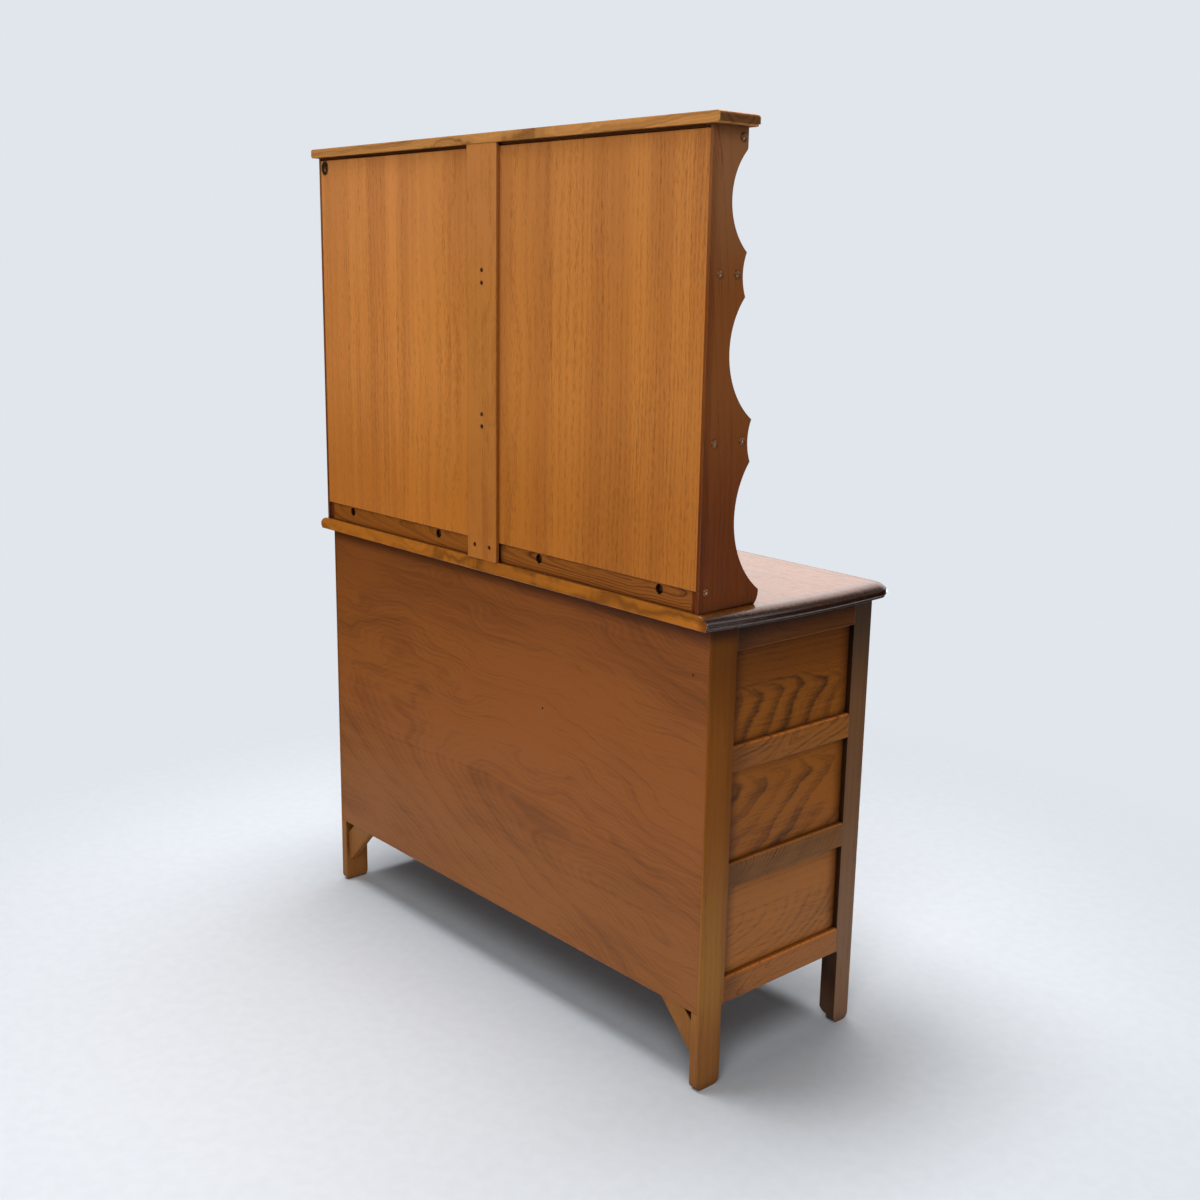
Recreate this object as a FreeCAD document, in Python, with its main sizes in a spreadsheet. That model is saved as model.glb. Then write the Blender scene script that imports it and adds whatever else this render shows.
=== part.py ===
"""Dresser with a hutch: a panelled base with three drawers between two cupboards,
and a shallow plate rack with scalloped sides standing on the worktop.

Millimetres, +Z up, X across with 0 in the middle, Y = 0 in the middle of the depth,
drawers and doors towards -Y, feet on Z = 0.
"""
import FreeCAD, Part
import math
import os
import re

import Sketcher
from FreeCAD import Vector

DOC = FreeCAD.newDocument("Dresser")

# ---------------------------------------------------------------- driving dimensions

SIZES = {
    # base
    "carcass_width": 1130,
    "carcass_depth": 397,
    "worktop_height": 831,
    "leg_thickness": 18,
    "rear_leg_width": 58.5,
    "front_leg_width": 45,
    "foot_step": 5,
    "foot_radius": 13,
    "foot_arris": 6,
    "side_top_rail": 45,
    "side_middle_rail": 43.5,
    "side_bottom_rail": 46.5,
    "underside_level": 146.5,
    "rail_chamfer": 2.5,
    "panel_recess": 9,
    "panel_thickness": 6,
    "groove_depth": 8,
    "groove_play": 1,
    "back_thickness": 6,
    "back_set_in": 0.5,
    "back_lip": 4.5,
    "back_drop": 4.5,
    "post_width": 16,
    "post_foot_level": 24,
    "post_foot_rise": 10,
    "front_frame_depth": 22,
    "muntin_width": 22,
    "drawer_rail": 20,
    "drawer_opening": 370,
    "partition_thickness": 12,
    "bottom_thickness": 12,
    "shelf_thickness": 14,
    "shelf_play": 1,
    "shelf_setback": 60,
    "batten_size": 15,
    "rear_rail_thickness": 18,
    "rear_rail_height": 45,
    "runner_width": 18,
    "bracket_width": 95,
    "bracket_drop": 98,
    "bracket_corner_cut": 32,
    "bracket_chamfer": 5,
    "button_size": 20,
    "button_length": 36,
    # worktop
    "worktop_thickness": 23.5,
    "worktop_rear_overhang": 25,
    "worktop_front_overhang": 30,
    "worktop_front_bow": 14,
    "worktop_side_rear_overhang": 10,
    "worktop_side_front_overhang": 22,
    "worktop_side_bow": 15,
    "worktop_corner_radius": 38,
    "thumbnail_width": 22,
    "thumbnail_drop": 11,
    "nose_height": 4,
    "lip_height": 3,
    "lip_set_in": 3,
    "moulding_run_out": 10,
    # doors
    "door_gap": 1,
    "door_thickness": 20,
    "door_frame": 48,
    "door_panel_recess": 7,
    "door_panel_thickness": 6,
    # hinges
    "hinge_height": 50,
    "hinge_inset": 70,
    "hinge_leaf_width": 17,
    "hinge_leaf_thickness": 1.5,
    "hinge_leaf_play": 0.2,
    "knuckle_radius": 3.5,
    "knuckle_clearance": 0.3,
    "pin_radius": 1.6,
    "pin_clearance": 0.05,
    "pin_head_height": 2,
    "pin_head_radius": 2.6,
    # drawers
    "drawer_gap": 1,
    "drawer_run_clearance": 0.3,
    "drawer_front_thickness": 20,
    "drawer_side_thickness": 10,
    "drawer_top_clearance": 3,
    "drawer_back_space": 20,
    "drawer_back_drop": 5,
    "dovetail_length": 13,
    "dovetail_end_width": 36,
    "dovetail_slope": 2.2,
    "drawer_bottom_thickness": 5,
    "drawer_bottom_groove": 5,
    "drawer_bottom_lift": 9,
    # knobs
    "knob_radius": 17,
    "knob_base_radius": 11,
    "knob_neck_radius": 8,
    "knob_projection": 26,
    "knob_collar": 2,
    "knob_spigot_radius": 5,
    "knob_spigot_length": 12,
    "spigot_clearance": 0.1,
    "drawer_knob_spacing": 190,
    # door stops
    "stop_length": 24,
    "stop_height": 30,
    "stop_depth": 12,
    "stop_clearance": 0.3,
    # hutch
    "hutch_width": 1105,
    "hutch_setback": 3.5,
    "hutch_side_height": 730.5,
    "hutch_side_thickness": 18,
    "hutch_head_depth": 74,
    "hutch_foot_depth": 127,
    "hutch_nose_depth": 136,
    "hutch_nose_height": 24,
    "hutch_nose_rise": 3,
    "upper_shelf_height": 517.5,
    "lower_shelf_height": 265.5,
    "shelf_nose_height": 66,
    "shelf_nose_hollow": 7,
    "upper_nose_depth": 79.5,
    "lower_nose_depth": 104,
    "head_straight": 32,
    "top_scoop_depth": 33,
    "middle_scoop_depth": 41.5,
    "bottom_scoop_depth": 45,
    "head_round": 8,
    "plate_shelf_thickness": 16,
    "plate_shelf_setback": 4,
    "plate_shelf_arris": 2,
    "plate_groove_width": 9,
    "plate_groove_depth": 3,
    "plate_groove_setback": 14,
    "shelf_housing": 5,
    "shelf_rail_height": 28,
    "shelf_rail_thickness": 15,
    "valance_height": 31,
    "valance_end_height": 46,
    "valance_end_length": 60,
    "valance_thickness": 18,
    "valance_setback": 1.5,
    "hutch_rail_thickness": 24,
    "hutch_bottom_rail": 49,
    "hutch_top_rail": 35,
    "hutch_back_thickness": 4,
    "hutch_back_lip": 6,
    "hutch_back_set_in": 0.5,
    "hutch_back_head_gap": 6,
    "hutch_back_foot": 36,
    "centre_post_width": 86,
    "centre_post_proud": 6.5,
    "centre_post_rebate": 8,
    "hutch_top_thickness": 16.5,
    "hutch_top_side_overhang": 18.5,
    "hutch_top_rear_overhang": 7,
    "hutch_top_front_overhang": 16,
    "hutch_top_corner": 18,
    "hutch_top_round": 5,
    # pegs and screws
    "peg_head_radius": 7,
    "peg_head_height": 3.5,
    "peg_radius": 4,
    "peg_length": 12,
    "shelf_rear_peg": 24,
    "shelf_front_peg": 8,
    "peg_clearance": 0.1,
    "rail_peg_height": 33.5,
    "screw_head_radius": 4,
    "screw_head_height": 3,
    "screw_radius": 2,
    "screw_clearance": 0.15,
    "post_screw_length": 18,
    "post_screw_sink": 3,
    "post_foot_screw_spacing": 44,
    "pocket_mouth_radius": 8.3,
    "pocket_mouth_depth": 8,
    "pocket_radius": 5,
    "pocket_depth": 12,
    "pocket_angle": 55,
    "pocket_height": 25,
    "pocket_screw_length": 34,
    "pocket_inner": 153,
    "pocket_outer": 460,
    # hanging plate
    "hanger_width": 22,
    "hanger_height": 28,
    "hanger_thickness": 1.5,
    "hanger_hole_radius": 3.5,
    "hanger_slot_width": 4,
    "hanger_slot_rise": 7,
    "hanger_side_distance": 22,
    "hanger_head_distance": 20,
}

# Levels and planes worked out from the driving dimensions.
PLACES = {
    "rear_reach": "worktop_rear_overhang - hutch_setback + hutch_top_rear_overhang",
    "front_reach": "worktop_front_overhang + worktop_front_bow",
    "rear_y": "(carcass_depth + front_reach - rear_reach) / 2",
    "front_y": "rear_y - carcass_depth",
    "half_width": "carcass_width / 2",
    "side_inner": "half_width - leg_thickness",
    "carcass_top": "worktop_height - worktop_thickness",
    "back_front_y": "rear_y - back_set_in - back_thickness",
    "frame_back_y": "front_y + front_frame_depth",
    "opening_bottom": "underside_level + side_bottom_rail",
    "opening_top": "carcass_top - side_top_rail",
    "side_panel_height": "(opening_top - opening_bottom - 2 * side_middle_rail) / 3",
    "drawer_height": "(opening_top - opening_bottom - 2 * drawer_rail) / 3",
    "drawer_pitch": "drawer_height + drawer_rail",
    "drawer_half": "drawer_opening / 2",
    "muntin_outer": "drawer_half + muntin_width",
    "partition_outer": "drawer_half + partition_thickness",
    "post_inner": "side_inner - post_width",
    "post_back_y": "front_y + front_leg_width - foot_step",
    "panel_outer_x": "half_width - panel_recess",
    "panel_inner_x": "half_width - panel_recess - panel_thickness",
    "worktop_rear_y": "rear_y + worktop_rear_overhang",
    "hutch_rear_y": "worktop_rear_y - hutch_setback",
    "hutch_back_y": "hutch_rear_y - hutch_back_set_in - hutch_back_thickness",
    "hutch_half": "hutch_width / 2",
    "hutch_inner": "hutch_half - hutch_side_thickness",
    "hutch_top_z": "worktop_height + hutch_side_height",
    "upper_shelf_z": "worktop_height + upper_shelf_height",
    "lower_shelf_z": "worktop_height + lower_shelf_height",
    "hinge_x": "post_inner - door_gap / 2",
    "hinge_y": "front_y - knuckle_radius - knuckle_clearance",
    "door_outer": "post_inner - door_gap",
    "door_inner": "muntin_outer + door_gap",
    "door_bottom": "opening_bottom + door_gap",
    "door_top": "opening_top - door_gap",
    "door_back_y": "front_y + door_thickness",
    "drawer_outer": "drawer_half - drawer_gap",
    "drawer_inner": "drawer_outer - drawer_side_thickness",
    "drawer_shoulder": "front_y + drawer_front_thickness",
    "drawer_rear": "back_front_y - drawer_back_space",
    "hutch_front_y": "hutch_rear_y - hutch_head_depth",
    "upper_shelf_front": "hutch_rear_y - upper_nose_depth + shelf_nose_hollow + plate_shelf_setback",
    "lower_shelf_front": "hutch_rear_y - lower_nose_depth + shelf_nose_hollow + plate_shelf_setback",
    "valance_front": "hutch_front_y + valance_setback",
    "hutch_rail_front": "hutch_back_y - hutch_rail_thickness",
    "post_half": "centre_post_width / 2",
    "post_rear_y": "hutch_rear_y + centre_post_proud",
    "screw_seat_y": "post_rear_y - post_screw_sink - screw_head_height",
    "screw_tip_y": "screw_seat_y - post_screw_length",
}


def named_sheet(name, cells):
    """A spreadsheet with one alias per row."""
    sheet = DOC.addObject("Spreadsheet::Sheet", name)
    for row, (alias, content) in enumerate(cells.items(), start=1):
        sheet.set(f"A{row}", alias)
        sheet.set(f"B{row}", content)
        sheet.setAlias(f"B{row}", alias)
    return sheet


def rule(text):
    """The expression for a rule written with the plain names of sizes and places."""
    def qualify(match):
        word = match.group(0)
        if word in SIZES:
            return f"Sizes.{word}"
        if word in PLACES:
            return f"Places.{word}"
        return word
    return re.sub(r"[a-z_]+", qualify, str(text))


SIZE_SHEET = named_sheet("Sizes", {name: str(size) for name, size in SIZES.items()})
PLACE_SHEET = named_sheet("Places", {name: "=" + rule(text).replace("Places.", "")
                                     for name, text in PLACES.items()})
DOC.recompute()


def value(text):
    """The number that a rule gives."""
    result = SIZE_SHEET.evalExpression(rule(text))
    return float(getattr(result, "Value", result))


def bind(item, prop, text):
    item.setExpression(prop, rule(text))


# ---------------------------------------------------------------- modelling helpers

NODES = []
QUARTER = "(1 - sqrt(0.5))"     # rise of a quarter round, as a share of its radius


def node(item, label):
    """Marks an object as a finished piece, which is written under this name."""
    item.Label = label
    NODES.append(item)
    return item


def new_body(name):
    return DOC.addObject("PartDesign::Body", name)


def origin_plane(body, plane):
    return next(part for part in body.Origin.OriginFeatures if part.Role == plane + "_Plane")


def new_sketch(body, plane, level, across="0", up="0"):
    """A sketch on one of the body's own planes, moved to a level along the plane's axis."""
    sketch = body.newObject("Sketcher::SketchObject", "Outline")
    sketch.AttachmentSupport = [(origin_plane(body, plane), "")]
    sketch.MapMode = "FlatFace"
    side = "-" if plane == "XZ" else ""
    bind(sketch, "AttachmentOffset.Base.x", across)
    bind(sketch, "AttachmentOffset.Base.y", up)
    bind(sketch, "AttachmentOffset.Base.z", f"{side}({level})")
    return sketch


def pin_number(sketch, constraint, text):
    """Adds a dimension to a sketch and binds it to a rule."""
    index = sketch.addConstraint(constraint)
    sketch.setExpression(f"Constraints[{index}]", rule(text))


def arc_radius(start, end, rise):
    """The radius of an arc over the chord from start to end that rises this much."""
    chord = f"(({end[0]}) - ({start[0]}))^2 + (({end[1]}) - ({start[1]}))^2"
    return f"({chord}) / (8 * abs({rise})) + abs({rise}) / 2"


def arc_over(start, end, rise):
    """The arc through two points that bulges to the left of the way between them by rise."""
    chord = end - start
    radius = chord.Length ** 2 / (8 * abs(rise)) + abs(rise) / 2
    left = Vector(-chord.y, chord.x, 0).normalize()
    side = math.copysign(1, rise)
    centre = (start + end) / 2 - left * side * (radius - abs(rise))
    first, last = (end, start) if rise > 0 else (start, end)
    angles = [math.atan2(tip.y - centre.y, tip.x - centre.x) for tip in (first, last)]
    if angles[1] < angles[0]:
        angles[1] += 2 * math.pi
    return Part.ArcOfCircle(Part.Circle(centre, Vector(0, 0, 1), radius), *angles)


def draw(sketch, corners):
    """Draws one closed outline. A corner is (x, y), or (x, y, rise) where an arc leaves it."""
    spots = [Vector(value(corner[0]), value(corner[1]), 0) for corner in corners]
    edges = []
    for index, corner in enumerate(corners):
        following = (index + 1) % len(corners)
        if len(corner) == 2:
            shape = Part.LineSegment(spots[index], spots[following])
            first, last = 1, 2
        else:
            shape = arc_over(spots[index], spots[following], value(corner[2]))
            first, last = (2, 1) if value(corner[2]) > 0 else (1, 2)
        edges.append((sketch.addGeometry(shape, False), first, last))
    for index, corner in enumerate(corners):
        following = (index + 1) % len(corners)
        edge, first, last = edges[index]
        beyond, beyond_first, _ = edges[following]
        sketch.addConstraint(Sketcher.Constraint("Coincident", edge, last, beyond, beyond_first))
        spot = spots[index]
        pin_number(sketch, Sketcher.Constraint("DistanceX", edge, first, spot.x), corner[0])
        pin_number(sketch, Sketcher.Constraint("DistanceY", edge, first, spot.y), corner[1])
        if len(corner) == 3:
            radius = arc_radius(corner, corners[following], corner[2])
            pin_number(sketch, Sketcher.Constraint("Radius", edge, value(radius)), radius)


def draw_circle(sketch, x, y, radius):
    centre = Vector(value(x), value(y), 0)
    circle = Part.Circle(centre, Vector(0, 0, 1), value(radius))
    edge = sketch.addGeometry(circle, False)
    pin_number(sketch, Sketcher.Constraint("Radius", edge, value(radius)), radius)
    pin_number(sketch, Sketcher.Constraint("DistanceX", edge, 3, centre.x), x)
    pin_number(sketch, Sketcher.Constraint("DistanceY", edge, 3, centre.y), y)


def level_rise(run, drop):
    """The rise of an arc that leaves level and falls by drop over a run."""
    chord = f"sqrt(({run})^2 + ({drop})^2)"
    return f"{chord} * ({chord} - ({run})) / (2 * ({drop}))"


def rectangle(x_low, x_high, y_low, y_high):
    return [(x_low, y_low), (x_high, y_low), (x_high, y_high), (x_low, y_high)]


def extrusion(body, kind, plane, low, high, reverse):
    """A pad or pocket between two levels along the plane's axis, still without an outline."""
    start = high if plane == "XZ" else low
    sketch = new_sketch(body, plane, start)
    feature = body.newObject(kind, "Extrusion")
    feature.Profile = sketch
    feature.Reversed = reverse
    bind(feature, "Length", f"({high}) - ({low})")
    return sketch


def pad(body, plane, low, high, *outlines):
    """Adds wood between two levels, over the given outlines."""
    sketch = extrusion(body, "PartDesign::Pad", plane, low, high, False)
    for outline in outlines:
        draw(sketch, outline)
    return body.Tip


def pocket(body, plane, low, high, *outlines):
    """Cuts wood away between two levels, over the given outlines."""
    sketch = extrusion(body, "PartDesign::Pocket", plane, low, high, True)
    for outline in outlines:
        draw(sketch, outline)
    return body.Tip


def drill(body, plane, low, high, radius, *centres):
    """Drills round holes between two levels at the given centres."""
    sketch = extrusion(body, "PartDesign::Pocket", plane, low, high, True)
    for x, y in centres:
        draw_circle(sketch, x, y, radius)
    return body.Tip


def dowel(body, plane, low, high, radius, centre):
    """Adds a round length between two levels."""
    sketch = extrusion(body, "PartDesign::Pad", plane, low, high, False)
    draw_circle(sketch, *centre, radius)


def mirror_feature(body, feature):
    """Repeats a feature of a body on the other side of the plane X = 0."""
    mirror = body.newObject("PartDesign::Mirrored", "BothSides")
    mirror.Originals = [feature]
    mirror.MirrorPlane = (origin_plane(body, "YZ"), [""])
    body.Tip = mirror
    return mirror


def dress(body, kind, prop, size, chooser):
    """Rounds or chamfers the edges of a body that the chooser picks."""
    DOC.recompute()
    base = body.Tip
    names = [f"Edge{number}" for number, edge in enumerate(base.Shape.Edges, start=1)
             if chooser(edge)]
    feature = body.newObject(kind, "Eased")
    feature.Base = (base, names)
    bind(feature, prop, size)
    return feature


def round_edges(body, radius, chooser):
    return dress(body, "PartDesign::Fillet", "Radius", radius, chooser)


def chamfer_edges(body, size, chooser):
    return dress(body, "PartDesign::Chamfer", "Size", size, chooser)


def revolve(body, plane, level, across, up, profile):
    """Turns a profile, given as (along, radius), about the plane's first axis."""
    sketch = new_sketch(body, plane, level, across, up)
    draw(sketch, profile)
    turned = body.newObject("PartDesign::Revolution", "Turned")
    turned.Profile = sketch
    turned.ReferenceAxis = (sketch, ["H_Axis"])
    turned.Angle = 360
    return turned


def board(name, x_range, y_range, z_range):
    """A plain square-edged board between the given planes."""
    box = DOC.addObject("Part::Box", name)
    for axis, prop, (low, high) in zip("xyz", ("Length", "Width", "Height"),
                                       (x_range, y_range, z_range)):
        bind(box, prop, f"({high}) - ({low})")
        bind(box, f"Placement.Base.{axis}", low)
    return box


def mirrored(name, source):
    """The opposite hand of a piece, on the other side of the plane X = 0."""
    twin = DOC.addObject("Part::Mirroring", name)
    twin.Source = source
    twin.Normal = Vector(1, 0, 0)
    twin.Base = Vector(0, 0, 0)
    return twin


def group(name, members):
    """Separate solids that share one name."""
    bundle = DOC.addObject("Part::Compound", name)
    bundle.Links = members
    return bundle


def pair(name, source):
    """A piece and its opposite hand."""
    return group(name, [source, mirrored(name + "_twin", source)])


def is_at(number, text, slack=0.01):
    return abs(number - value(text)) < slack


# ---------------------------------------------------------------- base: side frames

RAIL_FRONT = "(front_y + front_leg_width)"
RAIL_REAR = "(rear_y - rear_leg_width)"
TENON = "(groove_depth - groove_play)"


def round_sole(leg, low, high):
    """Rounds the inner arris under a foot."""
    pocket(leg, "XZ", low, high, [
        ("-side_inner", "0"),
        ("-side_inner", "foot_arris", f"foot_arris * {QUARTER}"),
        ("-side_inner - foot_arris", "0"),
    ])


def make_rear_legs():
    """Boards on edge with rounded feet, rebated for the back and grooved for the panels."""
    leg = new_body("left_rear_leg")
    heel = "rear_y"
    toe = "rear_y - rear_leg_width"
    pad(leg, "YZ", "-half_width", "-side_inner", [
        (f"{toe} + foot_step + foot_radius", "0"),
        (f"{heel} - foot_radius", "0", f"-foot_radius * {QUARTER}"),
        (heel, "foot_radius"),
        (heel, "carcass_top"),
        (toe, "carcass_top"),
        (toe, "underside_level", f"foot_step * {QUARTER}"),
        (f"{toe} + foot_step", "underside_level - foot_step"),
        (f"{toe} + foot_step", "foot_radius", f"-foot_radius * {QUARTER}"),
    ])
    pocket(leg, "XY", "underside_level - back_drop", "carcass_top",
           rectangle("back_lip - half_width", "-side_inner", "back_front_y", "rear_y"))
    pocket(leg, "XY", "underside_level + groove_depth", "carcass_top",
           rectangle("-panel_outer_x", "-panel_inner_x", toe, f"{toe} + groove_depth"))
    round_sole(leg, toe, heel)
    node(leg, "left_rear_leg")
    node(mirrored("right_rear_leg", leg), "right_rear_leg")


def make_front_legs():
    leg = new_body("left_front_leg")
    heel = "front_y + front_leg_width"
    pad(leg, "YZ", "-half_width", "-side_inner", [
        ("front_y + foot_radius", "0"),
        (f"{heel} - foot_step - foot_radius", "0", f"-foot_radius * {QUARTER}"),
        (f"{heel} - foot_step", "foot_radius"),
        (f"{heel} - foot_step", "underside_level - foot_step", f"foot_step * {QUARTER}"),
        (heel, "underside_level"),
        (heel, "carcass_top"),
        ("front_y", "carcass_top"),
        ("front_y", "foot_radius", f"-foot_radius * {QUARTER}"),
    ])
    pocket(leg, "XY", "underside_level + groove_depth", "carcass_top",
           rectangle("-panel_outer_x", "-panel_inner_x", f"{heel} - groove_depth", heel))
    round_sole(leg, "front_y", heel)
    node(leg, "left_front_leg")
    node(mirrored("right_front_leg", leg), "right_front_leg")


def make_side_rail(name, low, high, panel_below, panel_above):
    """A rail of the side frame: grooved where it meets a panel, with a stub tenon at each
    end, and its outer upper arris chamfered above a panel opening."""
    outline = [("-half_width", low)]
    if panel_below:
        outline += [("-panel_outer_x", low), ("-panel_outer_x", f"{low} + groove_depth"),
                    ("-panel_inner_x", f"{low} + groove_depth"), ("-panel_inner_x", low)]
    outline += [("-side_inner", low), ("-side_inner", high)]
    if panel_above:
        outline += [("-panel_inner_x", high), ("-panel_inner_x", f"{high} - groove_depth"),
                    ("-panel_outer_x", f"{high} - groove_depth"), ("-panel_outer_x", high),
                    ("-half_width + rail_chamfer", high),
                    ("-half_width", f"{high} - rail_chamfer")]
    else:
        outline += [("-half_width", high)]
    rail = new_body(name)
    pad(rail, "XZ", RAIL_FRONT, RAIL_REAR, outline)
    tenon_top = f"{high} - groove_depth" if panel_above else high
    pad(rail, "XZ", f"{RAIL_FRONT} - {TENON}", f"{RAIL_REAR} + {TENON}",
        rectangle("-panel_outer_x", "-panel_inner_x", f"{low} + groove_depth", tenon_top))
    return rail


def make_side_frames():
    rails = [
        make_side_rail("bottom_rail", "underside_level", "opening_bottom", False, True),
        make_side_rail("top_rail", "opening_top", "carcass_top", True, False),
    ]
    panels = []
    for row in range(3):
        low = f"opening_bottom + {row} * (side_panel_height + side_middle_rail)"
        high = f"{low} + side_panel_height"
        if row < 2:
            rails.append(make_side_rail("middle_rail", high, f"{high} + side_middle_rail",
                                        True, True))
        panels.append(board("side_panel", ("-panel_outer_x", "-panel_inner_x"),
                            (f"{RAIL_FRONT} - {TENON}", f"{RAIL_REAR} + {TENON}"),
                            (f"{low} - {TENON}", f"{high} + {TENON}")))
    left_rails = node(group("left_side_rails", rails), "left_side_rails")
    node(mirrored("right_side_rails", left_rails), "right_side_rails")
    node(pair("side_panels", group("left_side_panels", panels)), "side_panels")


# ---------------------------------------------------------------- base: front frame

HINGE_HEIGHTS = ("(door_bottom + hinge_inset)", "(door_top - hinge_inset)")
LEAF_BED = "(hinge_leaf_thickness + (hinge_leaf_play - door_gap) / 2)"


def hinge_beds(body, face_x, bed_x):
    """Beds for the two hinge leaves, let into the face of a post or stile."""
    for height in HINGE_HEIGHTS:
        pocket(body, "YZ", *sorted((face_x, bed_x), key=value),
               rectangle("front_y", "front_y + hinge_leaf_width",
                         f"{height} - hinge_height / 2", f"{height} + hinge_height / 2"))


def make_front_posts():
    """Posts beside the front legs and as deep as their feet, which carry the doors and stop
    short of the floor."""
    post = new_body("left_front_post")
    pad(post, "XZ", "front_y", "post_back_y", [
        ("-side_inner", "post_foot_level - post_foot_rise", "-3"),
        ("-post_inner", "post_foot_level"),
        ("-post_inner", "carcass_top"),
        ("-side_inner", "carcass_top"),
    ])
    hinge_beds(post, "-post_inner", f"-post_inner - {LEAF_BED}")
    node(pair("front_posts", post), "front_posts")


def make_front_rails():
    across = ("-post_inner", "post_inner")
    depth = ("front_y", "frame_back_y")
    node(board("front_top_rail", across, depth, ("opening_top", "carcass_top")),
         "front_top_rail")
    node(board("front_bottom_rail", across, depth, ("underside_level", "opening_bottom")),
         "front_bottom_rail")
    muntin = board("left_muntin", ("-muntin_outer", "-drawer_half"), depth,
                   ("opening_bottom", "opening_top"))
    node(pair("front_muntins", muntin), "front_muntins")
    rails = [board("drawer_rail", ("-drawer_half", "drawer_half"), depth,
                   (f"opening_bottom + {count} * drawer_pitch - drawer_rail",
                    f"opening_bottom + {count} * drawer_pitch")) for count in (1, 2)]
    node(group("drawer_rails", rails), "drawer_rails")


# ---------------------------------------------------------------- base: inside

def make_inside():
    """Bottom, partitions, runners, shelves and the rails that hold the back."""
    bottom = new_body("carcass_bottom")
    pad(bottom, "XY", "opening_bottom - bottom_thickness", "opening_bottom", [
        ("-side_inner", "post_back_y"), ("-post_inner", "post_back_y"),
        ("-post_inner", "frame_back_y"), ("post_inner", "frame_back_y"),
        ("post_inner", "post_back_y"), ("side_inner", "post_back_y"),
        ("side_inner", "back_front_y"), ("-side_inner", "back_front_y"),
    ])
    node(bottom, "carcass_bottom")
    rail_front = "back_front_y - rear_rail_thickness"
    top_rail = board("rear_top_rail", ("-side_inner", "side_inner"),
                     (rail_front, "back_front_y"), ("carcass_top - rear_rail_height",
                                                    "carcass_top"))
    bottom_rail = board("rear_bottom_rail", ("-side_inner", "side_inner"),
                        (rail_front, "back_front_y"),
                        ("underside_level", "opening_bottom - bottom_thickness"))
    node(group("rear_rails", [top_rail, bottom_rail]), "rear_rails")

    partition = new_body("left_partition")
    pad(partition, "YZ", "-partition_outer", "-drawer_half", [
        ("frame_back_y", "opening_bottom"),
        ("back_front_y", "opening_bottom"),
        ("back_front_y", "carcass_top - rear_rail_height"),
        (rail_front, "carcass_top - rear_rail_height"),
        (rail_front, "carcass_top"),
        ("frame_back_y", "carcass_top"),
    ])
    node(pair("partitions", partition), "partitions")

    strips = [board("runner", ("-drawer_half", "runner_width - drawer_half"),
                    ("frame_back_y", "back_front_y"),
                    (f"opening_bottom + {count} * drawer_pitch - drawer_rail",
                     f"opening_bottom + {count} * drawer_pitch")) for count in (1, 2)]
    strips.append(board("kicker", ("-drawer_half", "runner_width - drawer_half"),
                        ("frame_back_y", rail_front),
                        ("opening_top", "opening_top + drawer_rail")))
    node(pair("drawer_runners", group("left_drawer_runners", strips)), "drawer_runners")

    shelf_level = "(opening_bottom + opening_top) / 2"
    shelf_depth = ("front_y + shelf_setback", "back_front_y - shelf_play")
    shelf = board("left_cupboard_shelf",
                  ("shelf_play - side_inner", "-partition_outer - shelf_play"),
                  shelf_depth, (shelf_level, f"{shelf_level} + shelf_thickness"))
    node(pair("cupboard_shelves", shelf), "cupboard_shelves")
    beneath = (f"{shelf_level} - batten_size", shelf_level)
    battens = [
        board("outer_batten", ("-side_inner", "batten_size - side_inner"), shelf_depth, beneath),
        board("inner_batten", ("-partition_outer - batten_size", "-partition_outer"),
              shelf_depth, beneath),
    ]
    node(pair("shelf_battens", group("left_shelf_battens", battens)), "shelf_battens")


def make_back():
    node(board("back_panel", ("back_lip - half_width", "half_width - back_lip"),
               ("back_front_y", "rear_y - back_set_in"),
               ("underside_level - back_drop", "carcass_top")), "back_panel")


def make_rear_brackets():
    """Sloping brackets in the corners below the back, with the inner corner cut off."""
    bracket = new_body("left_rear_bracket")
    pad(bracket, "XZ", "back_front_y - rear_rail_thickness", "back_front_y", [
        ("-side_inner", "underside_level - bracket_drop"),
        ("bracket_width - side_inner", "underside_level"),
        ("bracket_corner_cut - side_inner", "underside_level"),
        ("-side_inner", "underside_level - bracket_corner_cut"),
    ])

    def slopes_down_at_back(edge):
        middle = edge.CenterOfMass
        return (is_at(middle.y, "back_front_y")
                and is_at(middle.z, "underside_level - bracket_drop / 2"))

    chamfer_edges(bracket, "bracket_chamfer", slopes_down_at_back)
    node(pair("rear_brackets", bracket), "rear_brackets")


def make_buttons():
    """Blocks that hold the worktop down, against the side rails inside."""
    blocks = []
    for place in (f"{RAIL_FRONT}", f"{RAIL_REAR} - button_length"):
        blocks.append(board("button", ("-side_inner", "button_size - side_inner"),
                            (place, f"{place} + button_length"),
                            ("carcass_top - button_size", "carcass_top")))
    node(pair("worktop_buttons", group("left_buttons", blocks)), "worktop_buttons")


# ---------------------------------------------------------------- worktop

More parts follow.
